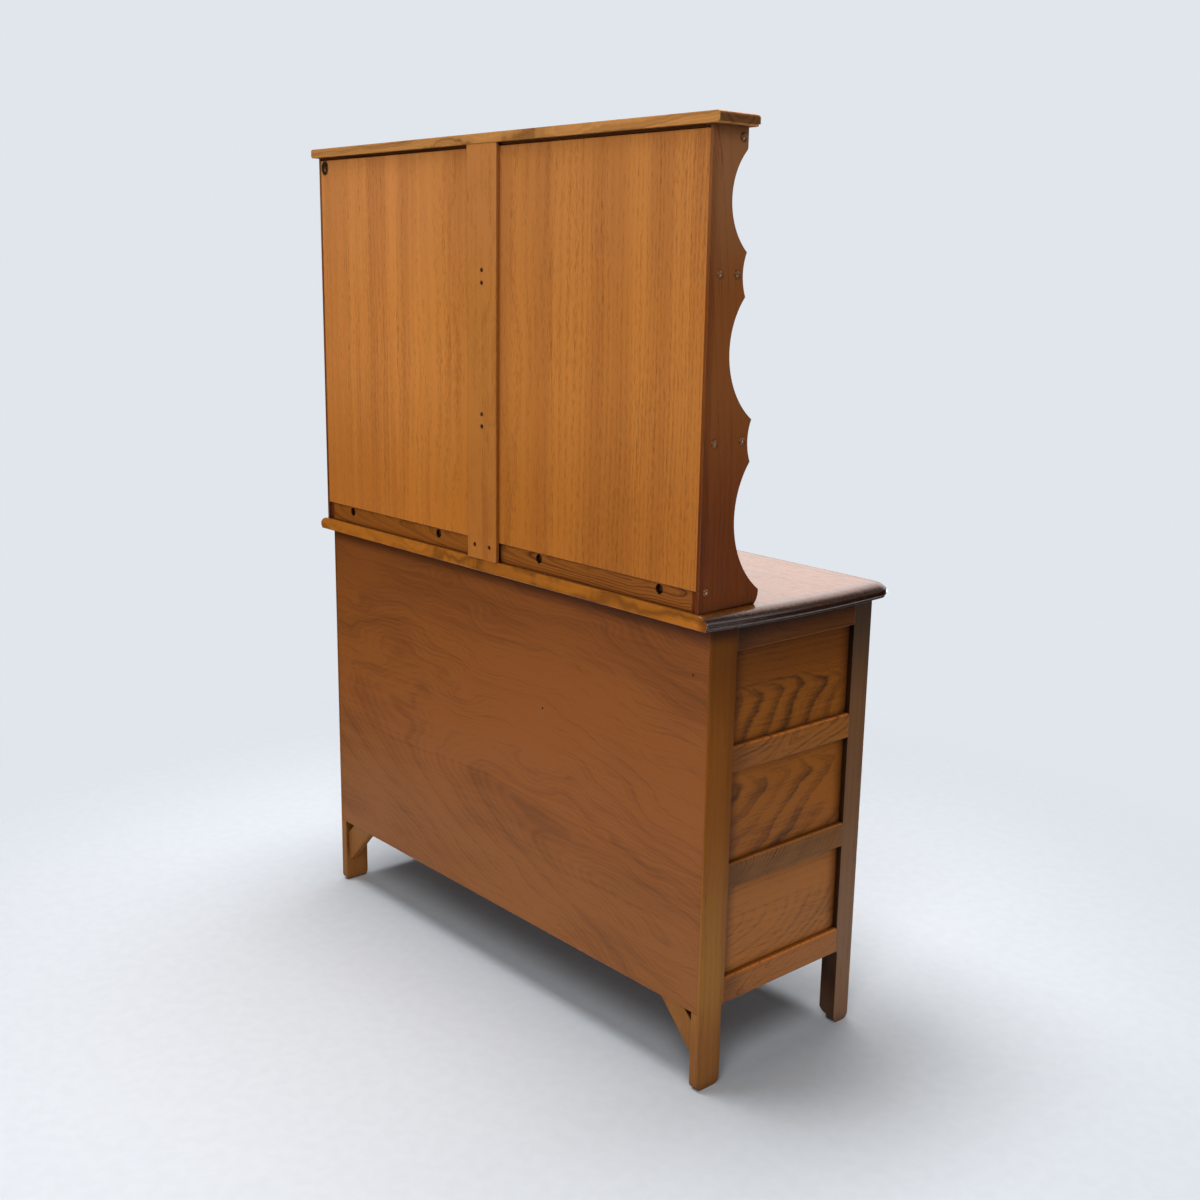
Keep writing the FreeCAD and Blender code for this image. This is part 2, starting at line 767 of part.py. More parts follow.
def make_worktop():
    """A slab bowed at the front and sides. A thumbnail and a lip are worked round three
    edges of a slab that is left long, and the rear is then cut straight."""
    slab = new_body("worktop_slab")
    rear = "half_width + worktop_side_rear_overhang"
    front = "half_width + worktop_side_front_overhang"
    front_line = "front_y - worktop_front_overhang"
    run_out = "worktop_rear_y + moulding_run_out"
    pad(slab, "XY", "carcass_top", "worktop_height", [
        (f"-({front})", front_line, "-worktop_front_bow"),
        (front, front_line, "-worktop_side_bow"),
        (rear, run_out),
        (f"-({rear})", run_out, "-worktop_side_bow"),
    ])

    def is_front_corner(edge):
        return (abs(edge.tangentAt(edge.FirstParameter).z) > 0.9
                and is_at(edge.CenterOfMass.y, front_line))

    round_edges(slab, "worktop_corner_radius", is_front_corner)
    rim = upper_rim(slab, run_out)
    above, below = "worktop_height + lip_height", "carcass_top - lip_height"
    run_moulding(slab, rim, run_out, [
        (rear, "worktop_height - thumbnail_drop",
         f"-({level_rise('thumbnail_width', 'thumbnail_drop')})"),
        (f"{rear} - thumbnail_width", "worktop_height"),
        (f"{rear} - thumbnail_width", above),
        (f"{rear} + thumbnail_width", above),
        (f"{rear} + thumbnail_width", "worktop_height - thumbnail_drop"),
    ])
    run_moulding(slab, rim, run_out, [
        (rear, "carcass_top + lip_height + nose_height"),
        (f"{rear} + thumbnail_width", "carcass_top + lip_height + nose_height"),
        (f"{rear} + thumbnail_width", below),
        (f"{rear} - lip_set_in", below),
        (f"{rear} - lip_set_in", "carcass_top + lip_height", "-nose_height * 0.2"),
    ])
    pocket(slab, "XY", "carcass_top", "worktop_height",
           rectangle(f"-({front})", front, "worktop_rear_y", run_out))
    return slab


def upper_rim(slab, run_out):
    """The upper edges of the slab apart from the rear one."""
    DOC.recompute()
    base = slab.Tip
    names = [f"Edge{number}" for number, edge in enumerate(base.Shape.Edges, start=1)
             if is_at(edge.BoundBox.ZMin, "worktop_height")
             and not is_at(edge.CenterOfMass.y, run_out)]
    return base, names


def run_moulding(slab, rim, run_out, profile):
    """Runs a cutter of this profile along the rim."""
    sketch = new_sketch(slab, "XZ", run_out)
    draw(sketch, profile)
    cutter = slab.newObject("PartDesign::SubtractivePipe", "Moulding")
    cutter.Profile = sketch
    cutter.Spine = rim
    cutter.Mode = "Frenet"
    return cutter


# ---------------------------------------------------------------- knobs

def make_knob(name, x, z):
    """A turned knob on a front, with a spigot glued into a hole."""
    knob = new_body(name)
    dome = level_rise("knob_radius", "knob_projection * 0.28")
    revolve(knob, "YZ", x, "front_y", z, [
        ("knob_spigot_length", "0"),
        ("knob_spigot_length", "knob_spigot_radius"),
        ("0", "knob_spigot_radius"),
        ("0", "knob_base_radius"),
        ("-knob_collar", "knob_base_radius", "knob_collar / 2"),
        ("-knob_projection * 0.4", "knob_neck_radius", "-knob_collar / 2"),
        ("-knob_projection * 0.72", "knob_radius", f"-({dome})"),
        ("-knob_projection", "0"),
    ])
    return knob


def drill_for_knobs(body, *centres):
    drill(body, "XZ", "front_y", "front_y + knob_spigot_length",
          "knob_spigot_radius + spigot_clearance", *centres)


# ---------------------------------------------------------------- drawers

def make_drawer(name, row):
    """A drawer with half-blind dovetails at the front and a grooved-in bottom."""
    low = f"(opening_bottom + {row} * drawer_pitch)"
    side_low = f"({low} + drawer_run_clearance)"
    side_high = f"({low} + drawer_height - drawer_top_clearance)"
    side_height = f"({side_high} - {side_low})"
    bottom_low = f"({side_low} + drawer_bottom_lift)"
    bottom_high = f"({bottom_low} + drawer_bottom_thickness)"
    tail_tip = "drawer_shoulder - dovetail_length"
    tails = []
    for count in range(3):
        middle = f"{side_low} + {side_height} * {2 * count + 1} / 6"
        tails.append([
            (tail_tip, f"{middle} - dovetail_end_width / 2"),
            ("drawer_shoulder", f"{middle} - dovetail_end_width / 2 + dovetail_slope"),
            ("drawer_shoulder", f"{middle} + dovetail_end_width / 2 - dovetail_slope"),
            (tail_tip, f"{middle} + dovetail_end_width / 2"),
        ])
    knob_z = f"{low} + drawer_height / 2"

    front = new_body(name + "_front")
    pad(front, "XZ", "front_y", "drawer_shoulder",
        rectangle("-drawer_outer", "drawer_outer", f"{low} + drawer_gap",
                  f"{low} + drawer_height - drawer_gap"))
    sockets = pocket(front, "YZ", "-drawer_outer", "-drawer_inner", *tails)
    mirror_feature(front, sockets)
    pocket(front, "YZ", "-drawer_inner", "drawer_inner",
           rectangle("drawer_shoulder - drawer_bottom_groove", "drawer_shoulder",
                     bottom_low, bottom_high))
    drill_for_knobs(front, ("-drawer_knob_spacing / 2", knob_z),
                    ("drawer_knob_spacing / 2", knob_z))
    node(front, name + "_front")

    side = new_body(name + "_left_side")
    outline = [("drawer_rear", side_low), ("drawer_rear", side_high),
               ("drawer_shoulder", side_high)]
    for tail in reversed(tails):
        outline += [tail[2], tail[3], tail[0], tail[1]]
    outline.append(("drawer_shoulder", side_low))
    pad(side, "YZ", "-drawer_outer", "-drawer_inner", outline)
    pocket(side, "YZ", "-drawer_inner - drawer_bottom_groove", "-drawer_inner",
           rectangle("drawer_shoulder", "drawer_rear", bottom_low, bottom_high))
    back = board(name + "_back", ("-drawer_inner", "drawer_inner"),
                 ("drawer_rear - drawer_side_thickness", "drawer_rear"),
                 (bottom_high, f"{side_high} - drawer_back_drop"))
    node(group(name + "_box", [side, mirrored(name + "_right_side", side), back]),
         name + "_box")

    bottom = new_body(name + "_bottom")
    reach = "(drawer_inner + drawer_bottom_groove - groove_play)"
    tongue = "drawer_shoulder - drawer_bottom_groove + groove_play"
    pad(bottom, "XY", bottom_low, bottom_high, [
        ("-drawer_inner", tongue), ("drawer_inner", tongue),
        ("drawer_inner", "drawer_shoulder"), (reach, "drawer_shoulder"),
        (reach, "drawer_rear"), (f"-{reach}", "drawer_rear"),
        (f"-{reach}", "drawer_shoulder"), ("-drawer_inner", "drawer_shoulder"),
    ])
    node(bottom, name + "_bottom")
    knob = make_knob(name + "_left_knob", "-drawer_knob_spacing / 2", knob_z)
    node(pair(name + "_knobs", knob), name + "_knobs")


# ---------------------------------------------------------------- doors

def make_doors():
    """Framed doors with a panel held in grooves, hung on butt hinges."""
    inner = "(-door_inner)"
    outer = "(-door_outer)"
    groove_front = "(front_y + door_panel_recess)"
    groove_back = f"({groove_front} + door_panel_thickness)"
    knob_x = f"{inner} - door_frame / 2"
    knob_z = "(door_bottom + door_top) / 2"

    hinge_stile = new_body("door_hinge_stile")
    pad(hinge_stile, "XY", "door_bottom", "door_top", [
        (outer, "front_y"), (f"{outer} + door_frame", "front_y"),
        (f"{outer} + door_frame", groove_front),
        (f"{outer} + door_frame - groove_depth", groove_front),
        (f"{outer} + door_frame - groove_depth", groove_back),
        (f"{outer} + door_frame", groove_back),
        (f"{outer} + door_frame", "door_back_y"), (outer, "door_back_y"),
    ])
    hinge_beds(hinge_stile, outer, f"{outer} + {LEAF_BED}")
    meeting_stile = new_body("door_meeting_stile")
    pad(meeting_stile, "XY", "door_bottom", "door_top", [
        (f"{inner} - door_frame", "front_y"), (inner, "front_y"),
        (inner, "door_back_y"), (f"{inner} - door_frame", "door_back_y"),
        (f"{inner} - door_frame", groove_back),
        (f"{inner} - door_frame + groove_depth", groove_back),
        (f"{inner} - door_frame + groove_depth", groove_front),
        (f"{inner} - door_frame", groove_front),
    ])
    drill_for_knobs(meeting_stile, (knob_x, knob_z))

    rails = []
    for low, high, edge, depth in (
            ("door_bottom", "door_bottom + door_frame", "door_bottom + door_frame",
             "door_bottom + door_frame - groove_depth"),
            ("door_top - door_frame", "door_top", "door_top - door_frame",
             "door_top - door_frame + groove_depth")):
        rail = new_body("door_rail")
        pad(rail, "YZ", f"{outer} + door_frame", f"{inner} - door_frame",
            rectangle("front_y", "door_back_y", low, high))
        pad(rail, "YZ", f"{outer} + door_frame - {TENON}", f"{inner} - door_frame + {TENON}",
            rectangle(groove_front, groove_back, low, high))
        pocket(rail, "YZ", f"{outer} + door_frame - {TENON}", f"{inner} - door_frame + {TENON}",
               rectangle(groove_front, groove_back, *sorted((edge, depth), key=value)))
        rails.append(rail)

    left = {
        "stiles": group("left_door_stiles", [hinge_stile, meeting_stile]),
        "rails": group("left_door_rails", rails),
        "panel": board("left_door_panel",
                       (f"{outer} + door_frame - {TENON}", f"{inner} - door_frame + {TENON}"),
                       (groove_front, groove_back),
                       (f"door_bottom + door_frame - {TENON}",
                        f"door_top - door_frame + {TENON}")),
        "knob": make_knob("left_door_knob", knob_x, knob_z),
        "hinge_leaves": group("left_door_hinge_leaves", [
            make_hinge_leaf(height, 1) for height in HINGE_HEIGHTS]),
    }
    for part, item in left.items():
        node(item, "left_door_" + part)
        node(mirrored("right_door_" + part, item), "right_door_" + part)

    stop = new_body("left_door_stop")
    pad(stop, "XY", f"{knob_z} - stop_height / 2", f"{knob_z} + stop_height / 2", [
        ("-partition_outer - stop_length", "door_back_y + stop_clearance"),
        ("-muntin_outer", "door_back_y + stop_clearance"),
        ("-muntin_outer", "frame_back_y"),
        ("-partition_outer", "frame_back_y"),
        ("-partition_outer", "frame_back_y + stop_depth"),
        ("-partition_outer - stop_length", "frame_back_y + stop_depth"),
    ])
    node(pair("door_stops", stop), "door_stops")


def make_hinge_leaf(height, side):
    """One leaf of a left-hand butt hinge. Side is 1 on the door and -1 on the post."""
    low = f"({height} - hinge_height / 2)"
    third = "hinge_height / 3"
    if side > 0:
        knuckles = [(f"{low} + {third} + knuckle_clearance",
                     f"{low} + 2 * {third} - knuckle_clearance")]
        hole = "pin_radius + pin_clearance"
    else:
        knuckles = [(low, f"{low} + {third}"),
                    (f"{low} + 2 * {third}", f"{low} + hinge_height")]
        hole = "pin_radius"
    near = f"-hinge_x + {side} * hinge_leaf_play / 2"
    far = f"-hinge_x + {side} * (hinge_leaf_play / 2 + hinge_leaf_thickness)"
    faces = sorted((near, far), key=value)
    leaf = new_body("hinge_leaf")
    pad(leaf, "XY", low, f"{low} + hinge_height",
        rectangle(*faces, "front_y", "front_y + hinge_leaf_width"))
    for start, end in knuckles:
        pad(leaf, "XY", start, end, rectangle(*faces, "hinge_y", "front_y"))
        dowel(leaf, "XY", start, end, "knuckle_radius", ("-hinge_x", "hinge_y"))
        drill(leaf, "XY", start, end, hole, ("-hinge_x", "hinge_y"))
    return leaf


def make_frame_hinges():
    """The leaves let into the posts, with the pins that stay in them."""
    pieces = []
    for height in HINGE_HEIGHTS:
        pieces.append(make_hinge_leaf(height, -1))
        low = f"({height} - hinge_height / 2)"
        high = f"({height} + hinge_height / 2)"
        pin = new_body("hinge_pin")
        centre = ("-hinge_x", "hinge_y")
        dowel(pin, "XY", low, high, "pin_radius", centre)
        dowel(pin, "XY", high, f"{high} + pin_head_height", "pin_head_radius", centre)
        dowel(pin, "XY", f"{low} - pin_head_height", low, "pin_head_radius", centre)
        pieces.append(pin)
    node(pair("frame_hinges", group("left_frame_hinges", pieces)), "frame_hinges")


# ---------------------------------------------------------------- hutch

SHELVES = (("upper", "upper_shelf_z", "upper_shelf_front"),
           ("lower", "lower_shelf_z", "lower_shelf_front"))
RAIL_PEG = ("hutch_back_y - hutch_rail_thickness / 2", "worktop_height + rail_peg_height")
VALANCE_PEG = ("valance_front + valance_thickness / 2", "hutch_top_z - valance_height / 2")
FOOT_SCREWS = [(f"{side}post_foot_screw_spacing / 2", "worktop_height + pocket_height")
               for side in ("-", "")]


def shelf_pegs(level, front):
    return [("hutch_rear_y - shelf_rear_peg", level), (f"{front} + shelf_front_peg", level)]


def drill_pegs(body, end, *centres):
    """Drills both ends of a shelf or rail for the pegs that come through the sides."""
    holes = drill(body, "YZ", f"-({end})", "peg_length - hutch_inner",
                  "peg_radius + peg_clearance", *centres)
    mirror_feature(body, holes)


def drill_pilots(body, *centres):
    """Drills into the back of a shelf or rail for the screws through the centre post."""
    drill(body, "XZ", "screw_tip_y", "hutch_back_y", "screw_radius + screw_clearance",
          *centres)


def make_hutch_sides():
    """Scalloped sides: three hollow scoops with a nose between them at each shelf."""
    side = new_body("left_hutch_side")
    outline = [
        ("hutch_rear_y", "worktop_height"),
        ("hutch_rear_y", "hutch_top_z"),
        ("hutch_front_y", "hutch_top_z"),
        ("hutch_front_y", "hutch_top_z - head_straight", "top_scoop_depth"),
    ]
    for name, level, scoop in (("upper", "upper_shelf_z", "middle_scoop_depth"),
                               ("lower", "lower_shelf_z", "bottom_scoop_depth")):
        tip = f"hutch_rear_y - {name}_nose_depth"
        outline += [(tip, f"{level} + shelf_nose_height / 2", "shelf_nose_hollow"),
                    (tip, f"{level} - shelf_nose_height / 2", scoop)]
    outline += [
        ("hutch_rear_y - hutch_nose_depth", "worktop_height + hutch_nose_height",
         "-hutch_nose_rise"),
        ("hutch_rear_y - hutch_foot_depth", "worktop_height"),
    ]
    pad(side, "YZ", "-hutch_half", "-hutch_inner", outline)
    pocket(side, "YZ", "hutch_back_lip - hutch_half", "-hutch_inner",
           rectangle("hutch_back_y", "hutch_rear_y", "worktop_height", "hutch_top_z"))
    pocket(side, "YZ", "-hutch_inner - shelf_housing", "-hutch_inner", *[
        rectangle(front, "hutch_back_y", f"{level} - plate_shelf_thickness / 2",
                  f"{level} + plate_shelf_thickness / 2") for _, level, front in SHELVES])
    drill(side, "YZ", "-hutch_half", "-hutch_inner", "peg_radius + peg_clearance",
          *shelf_pegs(*SHELVES[0][1:]), *shelf_pegs(*SHELVES[1][1:]), RAIL_PEG, VALANCE_PEG)

    def is_head_corner(edge):
        return (is_at(edge.CenterOfMass.z, "hutch_top_z - head_straight")
                and is_at(edge.CenterOfMass.y, "hutch_front_y"))

    round_edges(side, "head_round", is_head_corner)
    node(side, "left_hutch_side")
    node(mirrored("right_hutch_side", side), "right_hutch_side")


def make_plate_shelves():
    """Shelves housed in the sides, each with a groove for plates and a rail behind."""
    rails = []
    for name, level, front in SHELVES:
        low = f"{level} - plate_shelf_thickness / 2"
        high = f"{level} + plate_shelf_thickness / 2"
        end = "hutch_inner + shelf_housing"
        shelf = new_body(name + "_plate_shelf")
        pad(shelf, "XY", low, high, rectangle(f"-({end})", end, front, "hutch_back_y"))
        pocket(shelf, "XY", f"{high} - plate_groove_depth", high,
               rectangle("-hutch_inner", "hutch_inner", f"{front} + plate_groove_setback",
                         f"{front} + plate_groove_setback + plate_groove_width"))
        drill_pegs(shelf, end, *shelf_pegs(level, front))
        drill_pilots(shelf, ("0", level))
        round_edges(shelf, "plate_shelf_arris",
                    lambda edge, front=front: edge.Length > value("hutch_width / 2")
                    and is_at(edge.CenterOfMass.y, front))
        node(shelf, name + "_plate_shelf")

        rail = new_body(name + "_shelf_rail")
        pad(rail, "XY", f"{low} - shelf_rail_height", low,
            rectangle("-hutch_inner", "hutch_inner", "hutch_back_y - shelf_rail_thickness",
                      "hutch_back_y"))
        drill_pilots(rail, ("0", f"{low} - shelf_rail_height / 2"))
        rails.append(rail)
    node(group("shelf_rails", rails), "shelf_rails")


def make_hutch_rails():
    node(board("hutch_top_rail", ("-hutch_inner", "hutch_inner"),
               ("hutch_back_y - shelf_rail_thickness", "hutch_back_y"),
               ("hutch_top_z - hutch_top_rail", "hutch_top_z")), "hutch_top_rail")

    valance = new_body("hutch_valance")
    shoulder = "hutch_inner - valance_end_length"
    end_z = "hutch_top_z - valance_end_height"
    pad(valance, "XZ", "valance_front", "valance_front + valance_thickness", [
        ("-hutch_inner", end_z),
        (f"-({shoulder})", end_z, "valance_end_height - valance_height"),
        (shoulder, end_z),
        ("hutch_inner", end_z),
        ("hutch_inner", "hutch_top_z"),
        ("-hutch_inner", "hutch_top_z"),
    ])
    drill_pegs(valance, "hutch_inner", VALANCE_PEG)
    node(valance, "hutch_valance")


def make_hutch_back():
    panel = board("left_hutch_back_panel",
                  ("hutch_back_lip - hutch_half", "centre_post_rebate - post_half"),
                  ("hutch_back_y", "hutch_back_y + hutch_back_thickness"),
                  ("worktop_height + hutch_back_foot", "hutch_top_z - hutch_back_head_gap"))
    node(pair("hutch_back_panels", panel), "hutch_back_panels")

    post = new_body("hutch_centre_post")
    waist = "(post_half - centre_post_rebate)"
    ledge = "hutch_back_y + hutch_back_thickness"
    pad(post, "XY", "worktop_height", "hutch_top_z", [
        (f"-{waist}", "hutch_back_y"), (waist, "hutch_back_y"),
        (waist, ledge), ("post_half", ledge),
        ("post_half", "post_rear_y"), ("-post_half", "post_rear_y"),
        ("-post_half", ledge), (f"-{waist}", ledge),
    ])
    centres = list(FOOT_SCREWS)
    for _, level, _ in SHELVES:
        centres += [("0", level),
                    ("0", f"{level} - plate_shelf_thickness / 2 - shelf_rail_height / 2")]
    drill(post, "XZ", "hutch_back_y", "screw_seat_y", "screw_radius + screw_clearance",
          *centres)
    drill(post, "XZ", "screw_seat_y", "post_rear_y", "screw_head_radius + screw_clearance",
          *centres)
    node(post, "hutch_centre_post")

    screws = []
    for centre in centres:
        screw = new_body("post_screw")
        dowel(screw, "XZ", "screw_tip_y", "screw_seat_y", "screw_radius", centre)
        dowel(screw, "XZ", "screw_seat_y", "screw_seat_y + screw_head_height",
              "screw_head_radius", centre)
        screws.append(screw)
    return screws


# ---------------------------------------------------------------- pocket screws

def sunk_bar(name, x, start, length, radius, angle="pocket_angle"):
    """A round bar that sinks into the back of the bottom rail at an angle, from a distance
    along its line."""
    bar = DOC.addObject("Part::Cylinder", name)
    bar.Placement.Rotation = FreeCAD.Rotation(Vector(1, 0, 0), 90)
    bind(bar, "Radius", radius)
    bind(bar, "Height", length)
    bind(bar, "Placement.Rotation.Angle", f"90 + {angle}")
    bind(bar, "Placement.Base.x", x)
    bind(bar, "Placement.Base.y", f"hutch_back_y - ({start}) * cos({angle})")
    bind(bar, "Placement.Base.z", f"worktop_height + pocket_height - ({start}) * sin({angle})")
    return bar


def cut(name, base, tool):
    result = DOC.addObject("Part::Cut", name)
    result.Base = base
    result.Tool = tool
    return result


def make_hutch_foot(slab, post_screws):
    """The bottom rail, screwed down to the worktop through pockets in its back."""
    rail = new_body("hutch_foot_rail")
    pad(rail, "XY", "worktop_height", "worktop_height + hutch_bottom_rail",
        rectangle("-hutch_inner", "hutch_inner", "hutch_rail_front", "hutch_back_y"))
    drill_pegs(rail, "hutch_inner", RAIL_PEG)
    drill_pilots(rail, *FOOT_SCREWS)

    holes = []
    screws = []
    for x in ("-pocket_outer", "-pocket_inner", "pocket_inner", "pocket_outer"):
        holes.append(sunk_bar("pocket_mouth", x, "-pocket_mouth_depth",
                              "2 * pocket_mouth_depth", "pocket_mouth_radius", "0"))
        holes.append(sunk_bar("pocket", x, "0", "pocket_depth", "pocket_radius"))
        holes.append(sunk_bar("pilot", x, "0", "pocket_depth + pocket_screw_length",
                              "screw_radius + screw_clearance"))
        screw = DOC.addObject("Part::Fuse", "pocket_screw")
        screw.Base = sunk_bar("screw_head", x, "pocket_depth - screw_head_height",
                              "screw_head_height", "screw_head_radius")
        screw.Tool = sunk_bar("screw_shank", x, "pocket_depth", "pocket_screw_length",
                              "screw_radius")
        screws.append(screw)
    drilling = group("pocket_drilling", holes)
    node(cut("hutch_bottom_rail", rail, drilling), "hutch_bottom_rail")
    node(cut("worktop", slab, drilling), "worktop")
    node(group("hutch_screws", screws + post_screws), "hutch_screws")


# ---------------------------------------------------------------- pegs, top and hanger

def make_pegs():
    """Domed oak pegs that come through the sides into the shelves and rails."""
    pegs = []
    for y, z in (*shelf_pegs(*SHELVES[0][1:]), *shelf_pegs(*SHELVES[1][1:]),
                 RAIL_PEG, VALANCE_PEG):
        peg = new_body("peg")
        revolve(peg, "XZ", y, "0", z, [
            ("-hutch_half - peg_head_height", "0", level_rise("peg_head_radius",
                                                              "peg_head_height")),
            ("-hutch_half", "peg_head_radius"),
            ("-hutch_half", "peg_radius"),
            ("peg_length - hutch_inner", "peg_radius"),
            ("peg_length - hutch_inner", "0"),
        ])
        pegs.append(peg)
    node(pair("hutch_pegs", group("left_hutch_pegs", pegs)), "hutch_pegs")


def make_hutch_top():
    top = new_body("hutch_top")
    end = "hutch_half + hutch_top_side_overhang"
    front = "hutch_front_y - hutch_top_front_overhang"
    rear = "hutch_rear_y + hutch_top_rear_overhang"
    pad(top, "XY", "hutch_top_z", "hutch_top_z + hutch_top_thickness",
        rectangle(f"-({end})", end, front, rear))
    round_edges(top, "hutch_top_corner",
                lambda edge: abs(edge.tangentAt(edge.FirstParameter).z) > 0.9
                and is_at(edge.CenterOfMass.y, front))
    round_edges(top, "hutch_top_round",
                lambda edge: edge.BoundBox.ZLength < 0.01
                and not is_at(edge.CenterOfMass.y, rear))
    node(top, "hutch_top")


def make_hanging_plate():
    """A small oval brass plate with a keyhole, at one top corner of the back."""
    plate = new_body("hanging_plate")
    x = "(hutch_half - hanger_side_distance)"
    z = "(hutch_top_z - hanger_head_distance)"
    half = "(hanger_height / 2 - hanger_width / 2)"
    rear = "hutch_back_y + hutch_back_thickness"
    reach = (rear, f"{rear} + hanger_thickness")
    bow = "-hanger_width * 0.45"
    pad(plate, "XZ", *reach, [
        (f"{x} - hanger_width / 2", f"{z} - {half}", bow),
        (f"{x} + hanger_width / 2", f"{z} - {half}"),
        (f"{x} + hanger_width / 2", f"{z} + {half}", bow),
        (f"{x} - hanger_width / 2", f"{z} + {half}"),
    ])
    drill(plate, "XZ", *reach, "hanger_hole_radius", (x, f"{z} - hanger_slot_rise / 2"))
    pocket(plate, "XZ", *reach,
           rectangle(f"{x} - hanger_slot_width / 2", f"{x} + hanger_slot_width / 2",
                     f"{z} - hanger_slot_rise / 2", f"{z} + hanger_slot_rise / 2"))
    node(plate, "hanging_plate")


# ---------------------------------------------------------------- assembly

make_rear_legs()
make_front_legs()
make_side_frames()
make_front_posts()
make_front_rails()
make_inside()
make_back()
make_rear_brackets()
make_buttons()
for position, drawer_name in enumerate(("lower_drawer", "middle_drawer", "upper_drawer")):
    make_drawer(drawer_name, position)
make_doors()
make_frame_hinges()
make_hutch_sides()
make_plate_shelves()
make_hutch_rails()
make_hutch_foot(make_worktop(), make_hutch_back())
make_pegs()
make_hutch_top()
make_hanging_plate()
DOC.recompute()

for item in DOC.Objects:
    if {"Invalid", "Error"} & set(item.State):
        raise RuntimeError(f"{item.Name} did not build: {item.State}")
os.makedirs("parts", exist_ok=True)
for item in NODES:
    if item.Shape.isNull() or not item.Shape.isValid():
        raise RuntimeError(f"{item.Label} is not a sound solid")
    item.Shape.exportStep(f"parts/{item.Label}.step")
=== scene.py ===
import math

import bpy
from mathutils import Matrix, Vector

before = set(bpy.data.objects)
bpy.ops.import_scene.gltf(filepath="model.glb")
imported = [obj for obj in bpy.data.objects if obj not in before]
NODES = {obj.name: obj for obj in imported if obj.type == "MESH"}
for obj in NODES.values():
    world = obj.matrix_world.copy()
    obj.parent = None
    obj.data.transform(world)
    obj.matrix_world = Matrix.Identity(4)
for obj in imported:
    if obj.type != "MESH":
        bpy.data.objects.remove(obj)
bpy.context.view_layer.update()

HAIRLINES = 4              # fine lines in each growth ring
SHADE_REACH = 0.025         # how far painted shade spreads from an inner corner, in metres
ARRIS_RADIUS = 0.0022      # the rounding that outer corners seem to have
FIBRE_BUMP = 0.25          # the strength and the depth of the fibres' relief
FIBRE_DEPTH = 0.0004
PAINTED_SHADE_TONE, HOLE_SHADE = 0.2, 0.05       # times the wood's dark colour: painted shade in recesses, and in holes
WEAR_AND_HIGHLIGHT = 1.6                         # times its light colour, for wear and a painted highlight on the arrises


# ---------------------------------------------------------------- shader building

class Shader:
    """A material's node tree, with short ways to add and join nodes."""

    def __init__(self, name):
        self.material = bpy.data.materials.new(name)
        self.material.use_nodes = True
        self.tree = self.material.node_tree
        self.tree.nodes.clear()
        self.output = self.tree.nodes.new("ShaderNodeOutputMaterial")

    def join(self, source, socket):
        """Links a node's output to a socket, or sets the socket to a plain value."""
        if isinstance(source, bpy.types.NodeSocket):
            self.tree.links.new(source, socket)
        elif source is not None:
            if hasattr(socket.default_value, "__len__") and not hasattr(source, "__len__"):
                source = (source,) * len(socket.default_value)
            if hasattr(source, "__len__") and len(source) < len(socket.default_value):
                source = (*source, 1)
            socket.default_value = source

    def node(self, kind, inputs=(), **settings):
        """Adds a shader node with its settings, and joins what its inputs are to be."""
        made = self.tree.nodes.new("ShaderNode" + kind)
        for key, setting in settings.items():
            setattr(made, key, setting)
        for key, source in dict(inputs).items():
            self.join(source, made.inputs[key])
        return made

    def math(self, operation, first, second=None, third=None, clamp=False):
        made = self.node("Math", operation=operation, use_clamp=clamp)
        for socket, source in zip(made.inputs, (first, second, third)):
            self.join(source, socket)
        return made.outputs[0]

    def add(self, *terms):
        total = terms[0]
        for term in terms[1:]:
            total = self.math("ADD", total, term)
        return total

    def times(self, first, second):
        return self.math("MULTIPLY", first, second)

    def mix(self, factor, first, second, blend="MIX"):
        """Mixes two colours. They are sockets 6 and 7 of the node, and output 2 is theirs."""
        made = self.node("Mix", {0: factor, 6: first, 7: second}, data_type="RGBA",
                         blend_type=blend)
        return made.outputs[2]

    def multiply(self, factor, colour, tint):
        return self.mix(factor, colour, tint, "MULTIPLY")

    def vector(self, x, y, z):
        return self.node("CombineXYZ", {0: x, 1: y, 2: z}).outputs[0]

    def noise(self, vector, scale=1.0, detail=2.0, rough=0.5):
        """A noise value spread round nought."""
        made = self.node("TexNoise", {"Vector": vector, "Scale": scale, "Detail": detail,
                                      "Roughness": rough})
        return self.math("SUBTRACT", made.outputs[0], 0.5)

    def span(self, source, low, high, out_low=0.0, out_high=1.0):
        """Maps a range smoothly onto another, and holds it at the ends."""
        made = self.node("MapRange", {0: source, 1: low, 2: high, 3: out_low, 4: out_high},
                         interpolation_type="SMOOTHSTEP")
        return made.outputs[0]

    def pick(self, index, values):
        """One value for each whole number that the index reaches."""
        if not isinstance(values, (list, tuple)):
            return values
        return self.add(*(self.times(self.math("COMPARE", index, number, 0.1), one)
                          for number, one in enumerate(values)))

    def place(self):
        """Object coordinates as three sockets."""
        coordinates = self.node("TexCoord").outputs["Object"]
        return self.node("SeparateXYZ", {0: coordinates}).outputs

    def finish(self, surface):
        self.tree.links.new(surface, self.output.inputs["Surface"])
        return self.material


def srgb(red, green, blue):
    """A colour given in 0 to 255 display values, as linear values."""
    def linear(channel):
        channel /= 255
        return channel / 12.92 if channel <= 0.04045 else ((channel + 0.055) / 1.055) ** 2.4
    return (linear(red), linear(green), linear(blue))


def scaled(colour, factor):
    return tuple(channel * factor for channel in colour)


def spot(s, x, y, z, radius):
    """A mark round a point, with an edge that is soft over 0.7 to 1.3 of its radius."""
    coordinates = s.node("TexCoord").outputs["Object"]
    distance = s.node("VectorMath", {0: coordinates, 1: (x, y, z)},
                      operation="DISTANCE").outputs["Value"]
    return s.span(distance, radius * 1.3, radius * 0.7)


